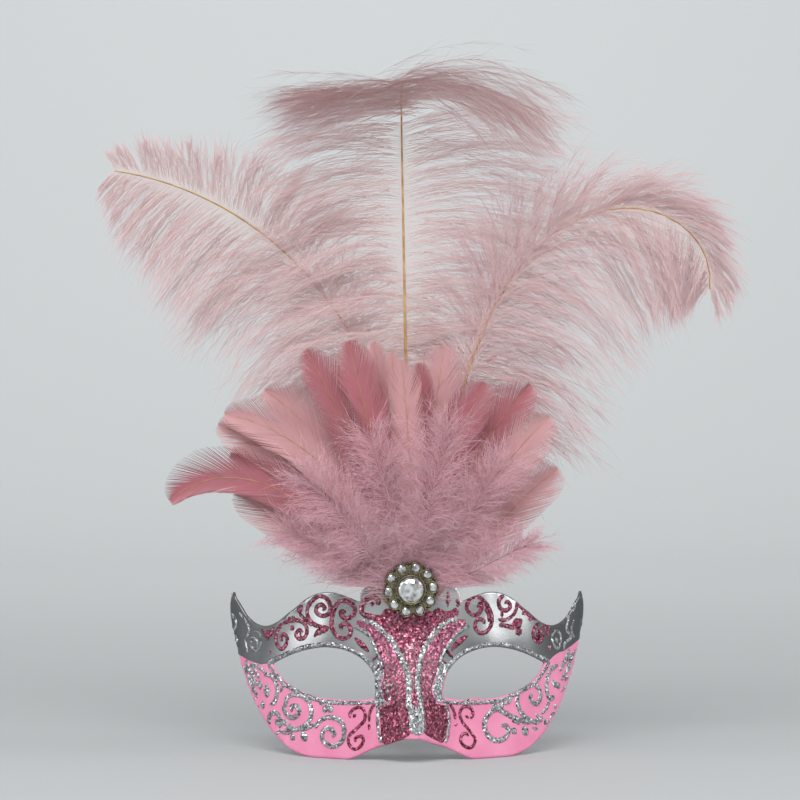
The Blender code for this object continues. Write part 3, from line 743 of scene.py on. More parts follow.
# %% The three plumes
for order, (name, foot, length, lean_foot, lean_tip, turn, lane, curl, *hang) in enumerate(PLUMES):
    start = (foot * PLUME_FEET, PLUME_FOOT_Y, FOOT_HEIGHT)
    path = shaft_path(
        start, length * PLUME_LENGTH, (lean_foot, lean_tip), turn,
        pitch=PLUME_PITCH, curl=curl, lane=lane * PLUME_LANE, run=LANE_RUN,
    )
    droop, covered, paler, *sides = hang
    strands = plume_barbs(path, sides, curl, droop, covered, paler, random.Random(order + 1))
    barbs = ribbons(name + "_barbs", strands, ostrich)
    line = [(place, SHAFT / 2 * (1 - SHAFT_TAPER * index / PATH_STEPS))
            for index, (place, _, _) in enumerate(path)][::4]
    if curl:
        line = line[:int(len(line) * SHAFT_SHOWN)]
    shaft = tubes(name + "_quill", [line], quill_horn, 2)
    for made in (barbs, shaft):
        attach(made, "root")
        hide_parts(name)

# %% [markdown]
# ## Wing feathers
# The small feathers come from a goose wing, cut short, dyed and curled. Their barbs lie side by
# side and hook into a blade that splits here and there. Each barb is a ribbon as wide as its share
# of the blade, so the blade closes, and where two neighbours are turned apart it splits.

# %% Dyed goose: satin keratin in two baths of dye; each barb's tone is partly random and partly painted satin sheen and shade
def goose_finish(name, dark, middle, light):
    finish = new_finish(name, {
        "Roughness": 0.5, "Sheen Weight": 0.3, "Sheen Roughness": 0.4, "Specular IOR Level": 0.35,
    })
    tone = add_node(finish, "ShaderNodeAttribute", {}, attribute_name="tone").outputs["Fac"]
    tint = add_node(
        finish, "ShaderNodeValToRGB", {"Fac": tone}, [(0.0, dark), (1.0, light), (0.5, middle)]
    )
    shade(finish, {"Base Color": tint.outputs["Color"]})
    return finish


rose_goose = goose_finish("rose_dyed_goose", "AB747C", "C59396", "DBB0AF")
dark_goose = goose_finish("dark_rose_dyed_goose", "87434F", "AB646E", "C88C90")

# %% Sizes of the wing feathers
WING_LENGTH = 135 * MM
WING_WIDTH = 20 * MM
WING_LAYER = 1.7 * MM
WING_RUN = 25 * MM
WING_FEET = 9.6 * MM
WING_FOOT_DROP = 2.5 * MM
WING_CUP = 0.264
WING_BARE = 0.2
WING_SWELL = 0.42
WING_TIP = 0.85
WING_TIP_RUN = 0.155
WING_TIP_POWER = 2
BEHIND_BROOCH = (7 + 11 + 4.3 / 2 + 0.75 + 0.7) * MM
WING_FOOT_Y = PLUME_FOOT_Y - SHAFT / 2 - GAP - QUILL / 2
WINGS = (
    # length, lean at foot, lean at tip, turn, width, layer; from the left, feet evenly spaced
    (0.72, -46, -60, 1.2, 1.20, 0), (1.04, -36, -137, 2.4, 1.20, 3), (0.85, -27, -72, 1.2, 1.10, 1),
    (0.97, -22, -70, 1.1, 1.15, 2), (1.01, -18, -80, 1.5, 1.10, 4), (0.96, -16, -55, 1.3, 1.15, 0),
    (1.01, -13, -31, 1.1, 1.00, 1), (0.99, -11, -15, 1.0, 1.10, 3), (0.97, -7, -10, 1.5, 0.70, 0),
    (0.93, -6, -3, 1.5, 0.60, 2), (0.90, -2, -6, 2.0, 0.85, 4), (0.89, 1, 0, 1.0, 0.70, 1),
    (0.96, 2, 9, 1.1, 1.25, 0), (0.86, 4, 28, 1.1, 1.15, 3), (0.92, 8, 45, 1.1, 1.20, 1),
    (0.84, 18, 47, 1.0, 1.40, 4), (0.70, 36, 50, 1.2, 1.20, 0),
)

# %% Barbs of one blade
BLADE_BARBS = 150  # on each side
BLADE_MARKS = (0.25, 0.5, 0.75, 1.0)
BLADE_ANGLE = 34
BLADE_OVERLAP = 1.5  # width of a barb's ribbon, in spacings of the barbs
BLADE_OVERSHOOT = 1.15
SPLIT_ANGLE = 15
SPLIT_FROM = 0.25


def blade_half_width(share, half_width):
    swell = smooth_step((share - WING_BARE) / WING_SWELL)
    rounding = max((share - WING_TIP) / WING_TIP_RUN, 0) ** WING_TIP_POWER
    return half_width * swell * math.sqrt(max(1 - rounding, 0))


def barb_reach(share, angle, length, half_width):
    """How far a barb runs from the quill until it meets the edge of the blade."""
    reach = half_width
    for _ in range(6):
        ends_at = share + reach * math.cos(angle) / length
        meets = BLADE_OVERSHOOT * blade_half_width(min(ends_at, 1), half_width) / math.sin(angle)
        left = (1 - share) * length / math.cos(angle)
        reach = (reach + min(meets, left)) / 2
    return reach


def blade_barbs(path, length, half_width, draw, seed):
    strands = []
    spacing = length * (1 - WING_BARE) / BLADE_BARBS
    for side in (-1, 1):
        for index in range(BLADE_BARBS):
            share = WING_BARE - 0.02 + (1.01 - WING_BARE) * (index + 0.5) / BLADE_BARBS
            place, along, facing = station(path, share)
            across = along.cross(facing) * side
            split = noise.noise(Vector((share * 7, side * 5.1, seed)))
            apart = SPLIT_ANGLE * math.copysign(max(abs(split) - SPLIT_FROM, 0), split)
            angle = math.radians(BLADE_ANGLE * (1 - 0.35 * share**4) + draw.gauss(0, 0.5))
            reach = barb_reach(share, angle, length, half_width)
            angle += math.radians(apart)
            way = along * math.cos(angle) + across * math.sin(angle)
            cup = WING_CUP * smooth_step((share - 0.25) / 0.3)
            points = [place]
            for mark in BLADE_MARKS:
                bent = way - across * 0.12 * mark + facing * cup * mark**2
                points.append(points[-1] + bent.normalized() * reach / len(BLADE_MARKS))
            # The tone follows how this part of the blade turns apart: a painted satin highlight one
            # way, painted shade the other; the rest is random and lighter towards the tip.
            tone = 0.5 + 0.45 * split + draw.gauss(0, 0.10) + 0.35 * (share - 0.6)
            strands.append((points, spacing * BLADE_OVERLAP, along, min(max(tone, 0), 1)))
    return strands


# %% The fan of wing feathers
draw = random.Random(31)
for index, (length, lean_foot, lean_tip, turn, width, layer) in enumerate(WINGS):
    name = f"wing_feather_{index + 1:02d}"
    foot = 2 * index / (len(WINGS) - 1) - 1
    start = (foot * WING_FEET, WING_FOOT_Y, FOOT_HEIGHT - WING_FOOT_DROP * abs(foot))
    path = shaft_path(
        start, length * WING_LENGTH, (lean_foot, lean_tip), turn,
        lane=-layer * WING_LAYER, flat=BEHIND_BROOCH, run=WING_RUN,
    )
    strands = blade_barbs(path, length * WING_LENGTH, width * WING_WIDTH / 2, draw, index * 4.0)
    blade = ribbons(name + "_blade", strands, (rose_goose, dark_goose)[layer % 2])
    line = [(place, QUILL / 2 * (1 - 0.75 * step / PATH_STEPS))
            for step, (place, _, _) in enumerate(path)][::5]
    quill = tubes(name + "_quill", [line], quill_horn, 1)
    for made in (blade, quill):
        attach(made, "root")
        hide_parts(name)

# %% [markdown]
# ## Down round the brooch
# A tuft of marabou down hides the quills above the brooch. Its barbs are short, and each carries
# barbules as long as itself that stand off at all angles, which is what makes it a mist. So every
# barb here is a ribbon with a few finer ribbons that start along it.

# %% Dyed marabou: the finest threads, mauve pink
marabou = new_finish("dyed_marabou_down", {
    "Roughness": 0.8, "Sheen Weight": 0.3, "Sheen Roughness": 0.6, "Specular IOR Level": 0.25,
})
tone = add_node(marabou, "ShaderNodeAttribute", {}, attribute_name="tone").outputs["Fac"]
tint = add_node(
    marabou, "ShaderNodeValToRGB", {"Fac": tone},
    [(0.0, "BC8592"), (1.0, "FCE4E8"), (0.5, "E2B1BC")],
)
shade(marabou, {"Base Color": tint.outputs["Color"]})

# %% Sizes of the down
DOWN_LENGTH = 82 * MM
DOWN_REACH = 21 * MM
DOWN_PITCH = -13
DOWN_LAYER = 3.7 * MM
DOWN_STAND = 5.5 * MM
DOWN_RUN = 12 * MM
DOWN_TAPER = 0.45
DOWN_FEET = 6.5 * MM
DOWN_FOOT_Y = WING_FOOT_Y - QUILL - GAP
DOWNS = (
    # foot, length, lean foot, lean tip, turn, reach, layer
    (-1.0, 0.80, -48, -70, 1.5, 0.90, 0), (-0.6, 1.00, -32, -46, 1.5, 1.00, 1),
    (-0.2, 1.05, -10, -18, 1.5, 1.00, 0), (0.2, 1.10, 8, 14, 1.5, 1.00, 1),
    (0.6, 1.00, 27, 36, 1.5, 0.95, 0), (1.0, 0.75, 55, 67, 1.5, 0.75, 1),
)

# %% Barbs and barbules of one down
DOWN_BARBS = 400  # on each side
DOWN_BARBULES = 7
DOWN_BARB_WIDTH = 0.15 * MM
DOWN_BARBULE_WIDTH = 0.7 * DOWN_BARB_WIDTH
DOWN_MARKS = (0.25, 0.5, 0.75, 1.0)
DOWN_BARBULE_MARKS = (0.5, 1.0)
DOWN_LOWEST = 0.04  # share of the length below the first barbs, which the brooch hides
BROOCH_HEIGHT = FOOT_HEIGHT + 7 * MM
BROOCH_COVER = 14.5 * MM
DOWN_FLOOR = 86 * MM  # the fluff ends above the brow,
DOWN_WISPS = 0.06  # but for this share of single wisps
DOWN_LIFTED = 0.15  # what is left of the fall of a barb that would lie on the brow


def kept_behind_brooch(points):
    """Where the brooch covers them, barbs lie flat on the face."""
    for point in points:
        if math.hypot(point.x - STAND.x, point.z - BROOCH_HEIGHT) < BROOCH_COVER:
            point.y = max(point.y, STAND.y + DOWN_FOOT_Y)
    return points


def down_strands(path, reach_most, draw, seed):
    strands = []
    for side in (-1, 1):
        for index in range(DOWN_BARBS):
            share = DOWN_LOWEST + (1 - DOWN_LOWEST) * ((index + draw.random()) / DOWN_BARBS) ** 1.4
            place, along, facing = station(path, share)
            across = along.cross(facing) * side
            lock = noise.noise(Vector((share * 8, side * 4.7, seed)))
            spread = math.radians(60 * (1 - 0.5 * share**2) + 18 * lock + draw.gauss(0, 16))
            reach = reach_most * (1.3 - DOWN_TAPER * share) * draw.triangular(0.35, 1.35, 0.8)
            way = along * math.cos(spread) + across * math.sin(spread)
            way += facing * (0.3 * lock + draw.gauss(0.08, 0.2) * (1 if share > 0.3 else 0.3))
            if way.z < 0:
                way.z *= DOWN_LIFTED
            points = kept_behind_brooch(barb_line(place, way, reach, 0.15, DOWN_MARKS, 0.3, draw))
            if points[-1].z < DOWN_FLOOR and draw.random() > DOWN_WISPS:
                continue
            tone = min(max(0.5 + 0.6 * lock + draw.gauss(0, 0.26), 0), 1)
            strands.append((points, DOWN_BARB_WIDTH, way.cross(facing).normalized(), tone))
            for _ in range(DOWN_BARBULES):
                root, heading = on_line(points, 0.15 + 0.8 * draw.random())
                off = (heading.normalized() + stray(draw, 0.45)).normalized()
                length = reach * draw.uniform(0.2, 0.5)
                ends = kept_behind_brooch(barb_line(root, off, length, 0.2, DOWN_BARBULE_MARKS))
                if ends[-1].z < DOWN_FLOOR and draw.random() > DOWN_WISPS:
                    continue
                strands.append((ends, DOWN_BARBULE_WIDTH, off.cross(facing).normalized(), tone))
    return strands


# %% The tuft
draw = random.Random(77)
for index, (foot, length, lean_foot, lean_tip, turn, reach, layer) in enumerate(DOWNS):
    name = f"down_{index + 1:02d}"
    start = (foot * DOWN_FEET, DOWN_FOOT_Y, FOOT_HEIGHT)
    path = shaft_path(
        start, length * DOWN_LENGTH, (lean_foot, lean_tip), turn, pitch=DOWN_PITCH,
        lane=-layer * DOWN_LAYER - DOWN_STAND, flat=BEHIND_BROOCH, run=DOWN_RUN,
    )
    strands = down_strands(path, reach * DOWN_REACH, draw, index * 3.0)
    fluff = ribbons(name + "_fluff", strands, marabou)
    line = [(place, QUILL / 2 * (1 - 0.6 * step / PATH_STEPS))
            for step, (place, _, _) in enumerate(path)][::6]
    quill = tubes(name + "_quill", [line], marabou, 1)
    for made in (fluff, quill):
        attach(made, "root")
        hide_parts(name)

# %% [markdown]
# ## Glitter
# Craft glitter is film chopped into flakes, each a tiny mirror at its own tilt. Real flakes would
# be millions of faces, so the flakes here are cells of a Voronoi pattern: a cell's random number
# picks its colour on a ramp from dark to bright, which paints glints and dark flakes into the
# colour, and the same numbers tip the surface's normal, so neighbours also catch different lights.

# %% Glitter set in clear glue: tinted metal flakes of 0.4 mm, drawn twice as large to show
FLAKE = 0.85 * MM
FLAKE_TILT = 1.3


def glitter_finish(name, stops):
    finish = new_finish(name, {"Metallic": 0.7, "Roughness": 0.3, "Coat Weight": 0.3})
    place = add_node(finish, "ShaderNodeTexCoord", {}).outputs["Object"]
    flakes = add_node(finish, "ShaderNodeTexVoronoi", {"Vector": place, "Scale": 1 / FLAKE})
    parts = add_node(finish, "ShaderNodeSeparateColor", {"Color": flakes.outputs["Color"]})
    # Painted glints: each flake's random value picks its colour from dark to bright, on top of the
    # tilt of its normal.
    tint = add_node(finish, "ShaderNodeValToRGB", {"Fac": parts.outputs["Red"]}, stops)
    centred = add_node(finish, "ShaderNodeVectorMath", {
        0: flakes.outputs["Color"], 1: (0.5, 0.5, 0.5),
    }, operation="SUBTRACT")
    facing = add_node(finish, "ShaderNodeNewGeometry", {}).outputs["Normal"]
    tipped = add_node(finish, "ShaderNodeVectorMath", {
        0: centred.outputs[0], 1: (FLAKE_TILT,) * 3, 2: facing,
    }, operation="MULTIPLY_ADD")
    unit = add_node(finish, "ShaderNodeVectorMath", {0: tipped.outputs[0]}, operation="NORMALIZE")
    shade(finish, {"Base Color": tint.outputs["Color"], "Normal": unit.outputs[0]})
    return finish


# Each ramp runs from dark flakes to near-white ones: glints and dark flakes painted into the
# glitter's colour.
SILVER_WITH_GLINTS = [(0.0, "4A4D52"), (1.0, "FFFFFF"), (0.6, "B4B7BB")]
ROSE_WITH_GLINTS = [(0.0, "5A122A"), (1.0, "E09AB0"), (0.7, "9A3356")]
CRIMSON_WITH_GLINTS = [(0.0, "3E0418"), (1.0, "E684A2"), (0.75, "7A1434")]
PINK_WITH_GLINTS = [(0.0, "7E2C4C"), (1.0, "F0BCCB"), (0.6, "B95F80")]
silver_glitter = glitter_finish("silver_glitter_glue", SILVER_WITH_GLINTS)
rose_glitter = glitter_finish("rose_glitter_glue", ROSE_WITH_GLINTS)
crimson_glitter = glitter_finish("crimson_glitter_glue", CRIMSON_WITH_GLINTS)

# %% Glitter of the bands, dusted twice: bright pink above, crimson at the foot of the nose
band_glitter = glitter_finish("pink_to_crimson_glitter_glue", PINK_WITH_GLINTS)
shader = band_glitter.node_tree.nodes["Principled BSDF"]
bright = shader.inputs["Base Color"].links[0].from_socket
place = add_node(band_glitter, "ShaderNodeTexCoord", {}).outputs["Object"]
across_up = add_node(band_glitter, "ShaderNodeSeparateXYZ", {"Vector": place})
same_flake = bright.node.inputs["Fac"].links[0].from_socket
deep = add_node(band_glitter, "ShaderNodeValToRGB", {"Fac": same_flake}, CRIMSON_WITH_GLINTS)
rising = add_node(band_glitter, "ShaderNodeMapRange", {
    "Value": across_up.outputs["Z"], "From Min": 26 * MM, "From Max": 50 * MM,
})
dusted = add_node(band_glitter, "ShaderNodeMix", {
    0: rising.outputs["Result"], 6: deep.outputs["Color"], 7: bright,
}, data_type="RGBA")
shade(band_glitter, {"Base Color": dusted.outputs[2]})
print("glitter finishes made")

# %% [markdown]
# ## Reading the ornament
# The scrolls are traditional piped ornament. Their places were read from a front view that was
# turned a few degrees more than the mask, which moves what stands forward to the left. The reader
# below undoes that, and gives places across and up the mask in metres.

# %% Places from the drawing
READ_SHIFT = 1.5 * MM
READ_TURN = 0.0436  # sine of the angle between the two views
READ_DEPTH = 15 * MM


def read(text):
    places = []
    for pair in text.split(","):
        x, z = (float(number) * MM for number in pair.split())
        places.append((x + READ_SHIFT - READ_TURN * (face_depth(x, z) - READ_DEPTH), z))
    return places


def smooth_line(points, step=0.7 * MM):
    """A Catmull-Rom line through the points."""
    count, line = len(points), []
    for index in range(count - 1):
        near = (max(index - 1, 0), index, index + 1, min(index + 2, count - 1))
        before, one, two, after = (points[place] for place in near)
        parts = max(1, round(math.dist(one, two) / step))
        for part in range(parts):
            t = part / parts
            line.append(tuple(
                0.5 * (2 * b + (c - a) * t + (2 * a - 5 * b + 4 * c - d) * t**2
                       + (3 * b - a - 3 * c + d) * t**3)
                for a, b, c, d in zip(before, one, two, after)
            ))
    line.append(points[-1])
    return line


# %% A test for what lies on the shell
from mathutils.bvhtree import BVHTree

bpy.context.view_layer.update()
shell_tree = BVHTree.FromObject(shell, bpy.context.evaluated_depsgraph_get())


def is_on_shell(x, z):
    start = STAND + Vector((x, -0.2, z))
    return shell_tree.ray_cast(start, Vector((0, 1, 0)))[0] is not None


brow, hole = is_on_shell(0, 60 * MM), is_on_shell(40 * MM, 42 * MM)
print("middle of the brow on the shell:", brow, "eye hole:", hole)

# %% [markdown]
# ## Patches of glitter
# The fields of glitter down the nose are brushed with glue and dusted. Each is a drawn shape cut to
# cells and bent like the shell, with its border sunk into the paint and its middle standing proud.

# %% A patch of glitter on the face
PATCH_PROUD = 0.28 * MM
PATCH_CELL = 1.2 * MM
PATCH_BORDER = 0.35 * MM
PATCH_SUNK = -0.06 * MM


def patch(name, outline, finish):
    bm = flat_fill([[(x, z, False) for x, z in read(outline)]], 4)
    chamfer_ring(bm, PATCH_BORDER)
    cut_to_cells(bm, PATCH_CELL)
    for vert in bm.verts:
        vert.co = on_face(vert.co.x, vert.co.y, PATCH_SUNK if vert.is_boundary else PATCH_PROUD)
    bm.normal_update()
    face_forward(bm)
    made = piece(name, bm, finish)
    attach(made, "root")


patch("glitter_brow", (
    "-14.6 74.8, -16.5 72.2, -20.5 70.6, -24 69.6, -20 67.3, -15 62.8, -11 58.6, -8 52.8,"
    "-5.6 47.4,"
    "-4 42.5, -4 37, -3.8 30.6, -2.9 27.6, 0 26.6, 2.2 27.6, 1.6 30.6, 0.8 37, 1.1 42.5, 1.8 47.5,"
    "3.4 52.5, 5.6 57, 8.7 61.2, 11.9 64.9, 16 67.8, 21 70.2, 22.6 72.3, 20.6 74.2, 16 73.6,"
    "12.4 75,"
    "9.2 73.4, 5 74.8, -5 75, -10 74.6"
), rose_glitter)
patch("glitter_band_left", (
    "-28.6 68.6, -28.6 66.4, -25 63.6, -22.4 61, -20.4 58.2, -18 53.4, -16 48.4, -15.4 44,"
    "-15.6 40.5,"
    "-16.6 37.4, -16.2 33, -14.8 30, -12 28.4, -9 27.6, -4.8 28.2, -4.6 30.6, -4.7 37, -5.1 42.5,"
    "-6.7 47.5, -9.2 53, -12.2 58.8, -16.2 63.2, -21 67, -25 68.8"
), band_glitter)
patch("glitter_band_right", (
    "26.4 68.2, 25 65.6, 22.4 63, 19.4 60.2, 16.7 56.7, 13.8 52.4, 11.8 48, 10.8 43.4, 9.2 40,"
    "8 36.4, 8.6 32.6, 10.4 29.4, 9 27.8, 6 27.2, 3.4 28, 2.7 30.6, 2 37, 2.3 42.5, 3.1 47.5,"
    "4.7 52.5,"
    "7 57, 10 61.2, 13.2 64.8, 17 67.6, 22 69.6"
), band_glitter)
patch("glitter_nose_left", (
    "-17.4 27.2, -17.4 22, -17.2 17, -16.8 12, -15.6 8.6, -12 10, -8 11.9, -4.6 14.1, -3.4 15.4,"
    "-3.2 20, -3.6 24, -4.7 28.8, -9 29, -13 28.6"
), crimson_glitter)
patch("glitter_nose_right", (
    "15.2 27, 16 24, 16.3 20, 15.9 15, 15 11, 13.8 9, 10 10.6, 7 12.4, 4.4 14.2, 3.4 15.4, 3.5 20,"
    "3.3 24, 2.8 28.6, 6 28.6, 10 28.6, 13 27.8"
), crimson_glitter)
patch("glitter_nose_middle", (
    "-2.8 28.2, -2.3 23, -2 18, -1.8 14.9, 0.5 14.4, 2.8 14.9, 2.7 18, 2.3 23, 1.8 28.2, -0.5 29"
), silver_glitter)
patch("glitter_corner_left", (
    "-20 45.6, -18.6 49.6, -16.6 47.6, -15.7 44, -15.9 40.5, -17 37.4, -16.6 33, -15 29.8,"
    "-13 27.8,"
    "-17 27.4, -19.6 28.6, -19.6 34, -19.8 40"
), silver_glitter)
patch("glitter_corner_right", (
    "14.6 46, 13.6 49.4, 12 47.6, 11 43.2, 9.4 39.8, 8.3 36.2, 9 32.6, 10.8 29.2, 13.4 28.2, 16 29,"
    "14 31, 13.2 36, 13.4 41"
), silver_glitter)

# %% [markdown]
# ## Piped lines
# Glitter glue comes out of a fine nozzle, so every scroll is a rounded line that swells where the
# hand slowed down. A tube that is sunk by half its radius gives that bead, and its foot is pressed
# flat so that it stays within the wall. A line gets thinner towards the rim of the shell and stops
# there.

# %% Piping along drawn strokes
PIPE_SHARE = 1.12  # radius of a tube for a line of width 1, when half its radius is sunk
PIPE_SUNK = 0.5
PIPE_FOOT = 0.8 * MM  # how deep the foot of a line is sunk, less than the wall
PIPE_HAND = 0.22  # how unevenly the hand pressed,
PIPE_HAND_RUN = 1.3 * MM  # over this length
AROUND = ((1, 0), (-1, 0), (0, 1), (0, -1))


def fitting(x, z, radius):
    """The radius that still lies on the shell all round, or 0 beside it."""
    for part in (1.0, 0.75, 0.5):
        reach = radius * part
        if all(is_on_shell(x + a * reach, z + b * reach) for a, b in AROUND):
            return reach
    return 0.0


def piped(name, strokes, finish):
    """Lines and leaves of glue. A stroke is its shape, its width in millimetres and its places."""
    lines = []
    for shape, width, places in strokes:
        run = smooth_line(places)
        parts = [[]]
        for index, (x, z) in enumerate(run):
            share = index / (len(run) - 1)
            if shape == "leaf":
                swell = max(math.sin(math.pi * min(share * 0.94 + 0.03, 1)), 0.15) ** 0.7
            else:
                swell = min(1, 0.5 + 0.2 * min(index, len(run) - 1 - index))
            hand = 1 + PIPE_HAND * noise.noise(Vector((x, z, 0)) / PIPE_HAND_RUN)
            radius = fitting(x, z, width * PIPE_SHARE * MM * swell * hand)
            if radius:
                parts[-1].append((on_face(x, z, -PIPE_SUNK * radius), radius))
            elif parts[-1]:
                parts.append([])
        lines += [part for part in parts if len(part) > 1]
    made = tubes(name, lines, finish, 1)
    for vertex in made.data.vertices:
        face = STAND.y + face_depth(vertex.co.x - STAND.x, vertex.co.z - STAND.z)
        vertex.co.y = min(vertex.co.y, face + PIPE_FOOT)
    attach(made, "root")


def strokes(shape, width, *texts):
    return [(shape, width, read(text)) for text in texts]


# %% Silver lines: the arcs of the nose and the rims of the eye holes
def rim_line(loop, wide, high):
    middle_x = (min(x for x, z, _ in loop) + max(x for x, z, _ in loop)) / 2
    middle_z = (min(z for x, z, _ in loop) + max(z for x, z, _ in loop)) / 2
    points = [
        (middle_x + (x - middle_x) * wide, middle_z + (z - middle_z) * high) for x, z, _ in loop
    ]
    return smooth_line([*points, points[0]])


silver_lines = [
    *strokes("line", 1.9,
             "-26 69.4, -20 67.5, -15 63, -11 58.8, -8 53, -5.5 47.5, -3.9 42.5, -3.9 37,"
             "-4.2 30.6,"
             "-3 24.4, -2.6 19, -2.5 15.2",
             "22.5 70.2, 16 68, 11.8 65, 8.6 61.3, 5.5 57, 3.3 52.5, 1.8 47.5, 1.1 42.5, 0.8 37,"
             "1.8 30.6, 2.7 24.4, 3 15.4"),
    *strokes("line", 1.3,
             "-30 66, -27 65, -23 62.3, -21 59.3, -18.6 54, -16.6 48.5, -16 43",
             "-18.8 29, -18.3 24.4, -18.6 19.4, -18 13, -16.4 8.8",
             "28 66, 24.6 64.6, 20.6 61.6, 17.4 57.4, 14.4 52.8, 12.4 48, 11.4 43",
             "15.4 28, 16.8 22, 16.6 16, 15.8 11, 14.8 8.8"),
    ("line", 1.15, rim_line(left_eye, 1.066, 1.125)),
    ("line", 1.15, rim_line(right_eye, 1.066, 1.125)),
]

# %% Silver scrolls of the left cheek
silver_lines += [
    *strokes("line", 1.5,
             "-60 22, -60.5 24, -58.5 25, -56.8 23, -57.5 20.5, -60 19, -62.5 20, -64 23, -63 26,"
             "-62 29,"
             "-59 30.5, -55.5 30, -52.5 28, -51 24.5, -51 20, -53 16.5, -56.5 14, -60 13,"
             "-63.5 13.5",
             "-48 17, -45 19.5, -41 20.5, -37 19, -35 15.5, -35.2 11, -37.5 7.5, -41 6.3, -44.5 8,"
             "-45.5 11, -44.5 14, -42 15, -39.8 13, -40.5 10.5",
             "-66.5 13, -65.8 17, -67.5 20, -70 20, -71.5 17.5, -71 14.5",
             "-74 39, -71 39, -68.5 36.5, -67.5 32.5, -68 28, -69.5 25, -71 24.5"),
    *strokes("line", 1.1,
             "-81 43, -78 43.4, -76 42, -73 40", "-71 11.5, -69 10.3, -66 10.8",
             "-67 12, -63.5 11, -60 11.5", "-57 13, -53 14, -50 16, -48 17", "-49 14.5, -47 17",
             "-56 32, -58 35, -61 37", "-66 31, -64.5 34, -62 36"),
    *strokes("leaf", 2.4, "-72.5 34.5, -72.8 31, -72 27.5", "-55.8 12.6, -54.5 10, -53 7.6"),
    *strokes("leaf", 1.8,
             "-74.5 26, -74.6 23.5, -74 21.4", "-64.5 17.6, -63.5 16, -62.6 14.4",
             "-61.6 16, -61 14.5, -60.4 12.8", "-61 10.6, -60 9.2, -58.6 8.2", "-48 30, -46 28,"
             "-45 26",
             "-44 22, -44.2 24, -44 26.5", "-44.4 25.4, -42 25, -39.6 25", "-42 22.6, -42 25,"
             "-42.4 27.6",
             "-40.4 23, -42 25, -43.8 27", "-66 14.6, -67.6 16, -68.4 17.6", "-76.5 36, -75.8 33.5,"
             "-76 31",
             "-79 26, -77.6 24, -76.4 22.4"),
    *strokes("line", 1.25,
             "-90 44, -86 38, -83 31, -80 26", "-87 46, -83 40, -80 33, -77 27", "-83 45.5, -80 39,"
             "-77 33",
             "-90 41, -86 42, -82 41, -79 38.5", "-89 36, -85 37, -81 36, -78 33",
             "-87 31, -83 32, -79 30", "-85 27, -81 27.5, -78 26", "-79.5 44, -78 40, -76 37"),
]

# %% Silver scrolls of the right cheek
silver_lines += [
    *strokes("line", 1.5,
             "44 15.5, 46.5 15.5, 48 13, 46.5 10, 43.5 8.5, 40 9, 37 11.5, 35.5 15, 35.7 19,"
             "38.5 22.5,"
             "42 24, 46 22, 50 19.5, 56 17, 60 15.5",
             "61 30.5, 60 28, 61.5 25.5, 64 25, 66 28, 65.5 31.5, 63 34.5, 60 36.5, 55 34, 53 28,"
             "54.5 22.5, 58.5 18, 63.5 16, 67 18",
             "76 43, 73 42, 70.5 39, 69.5 35, 69.5 31, 71 27, 74 27.5"),
    *strokes("line", 1.1,
             "71 26, 69 22, 66 19.5", "50 17.6, 52 17, 54 15.6", "61 13.4, 62.5 12.5, 64 12.6",
             "63 20, 64.6 18, 66 16", "71 17, 73 19, 76 20", "56.6 36, 60 38.6, 64 38.4"),
    *strokes("leaf", 2.6, "55.4 14.4, 57 12, 58.6 9.4", "78 30.6, 79 28, 79.4 25.6"),
    *strokes("leaf", 2.0,
             "39.4 23.4, 40.5 25.5, 42 27.4", "43 23.6, 44 26, 45.6 28.2", "46.4 25.6, 48 28,"
             "50 29.4",
             "48.8 28.4, 50 31, 51.8 33", "75 34.6, 76 32.6, 76.4 30.6", "72.6 36, 74 34,"
             "74.4 31.6",
             "67.6 14, 69.4 15.4, 71.4 15", "73.4 23.4, 75 22, 76.4 21.6", "49 13.4, 51 12.6,"
             "52.4 10.8"),
    *strokes("line", 1.25,
             "92 52, 88 45, 84 38, 80 31", "88 52.5, 85 47, 81 40, 78 35", "83 50.5, 80 45, 77 40",
             "92 47, 88 48, 84 47, 80 44, 78 41", "91 42, 87 43, 83 41, 80 38", "88 37, 84 38,"
             "80 35",
             "86 33, 82 33, 79 31"),
]

# %% Silver scribbles on the horns, hardly brighter than the foil that they lie on
silver_lines += [
    *strokes("line", 1.1,
             "-90.7 76.4, -91.4 71.6, -89.7 67.7, -87.9 64.3, -88.5 59.6, -87.3 54.9, -87.7 51.3",
             "86.1 77.6, 87.1 74.2, 85.1 69.7, 83.4 71.8, 82.6 66.3, 81.4 61, 84 56.4, 80.5 54.1,"
             "79.7 50.6"),
    *strokes("line", 0.9,
             "-86.2 69.1, -82 63.6, -81.4 60.1, -83.2 55.2, -82 49.4",
             "-78.5 60.4, -76.1 59.4, -75.5 54.8, -77.9 50.9, -80.3 53.1, -79.7 56.7, -77.3 55.7,"
             "-77.3 52.5",
             "75.1 60.9, 72.8 58.3, 73.9 53.6, 76.3 51.6, 77.9 54.9, 77.6 58.9, 75.3 60.9",
             "86 64.9, 84.3 60.8, 86 56"),
    *strokes("leaf", 1.3, "74.8 57.1, 75.6 55.5, 76.4 54"),
]
piped("piping_silver", silver_lines, silver_glitter)

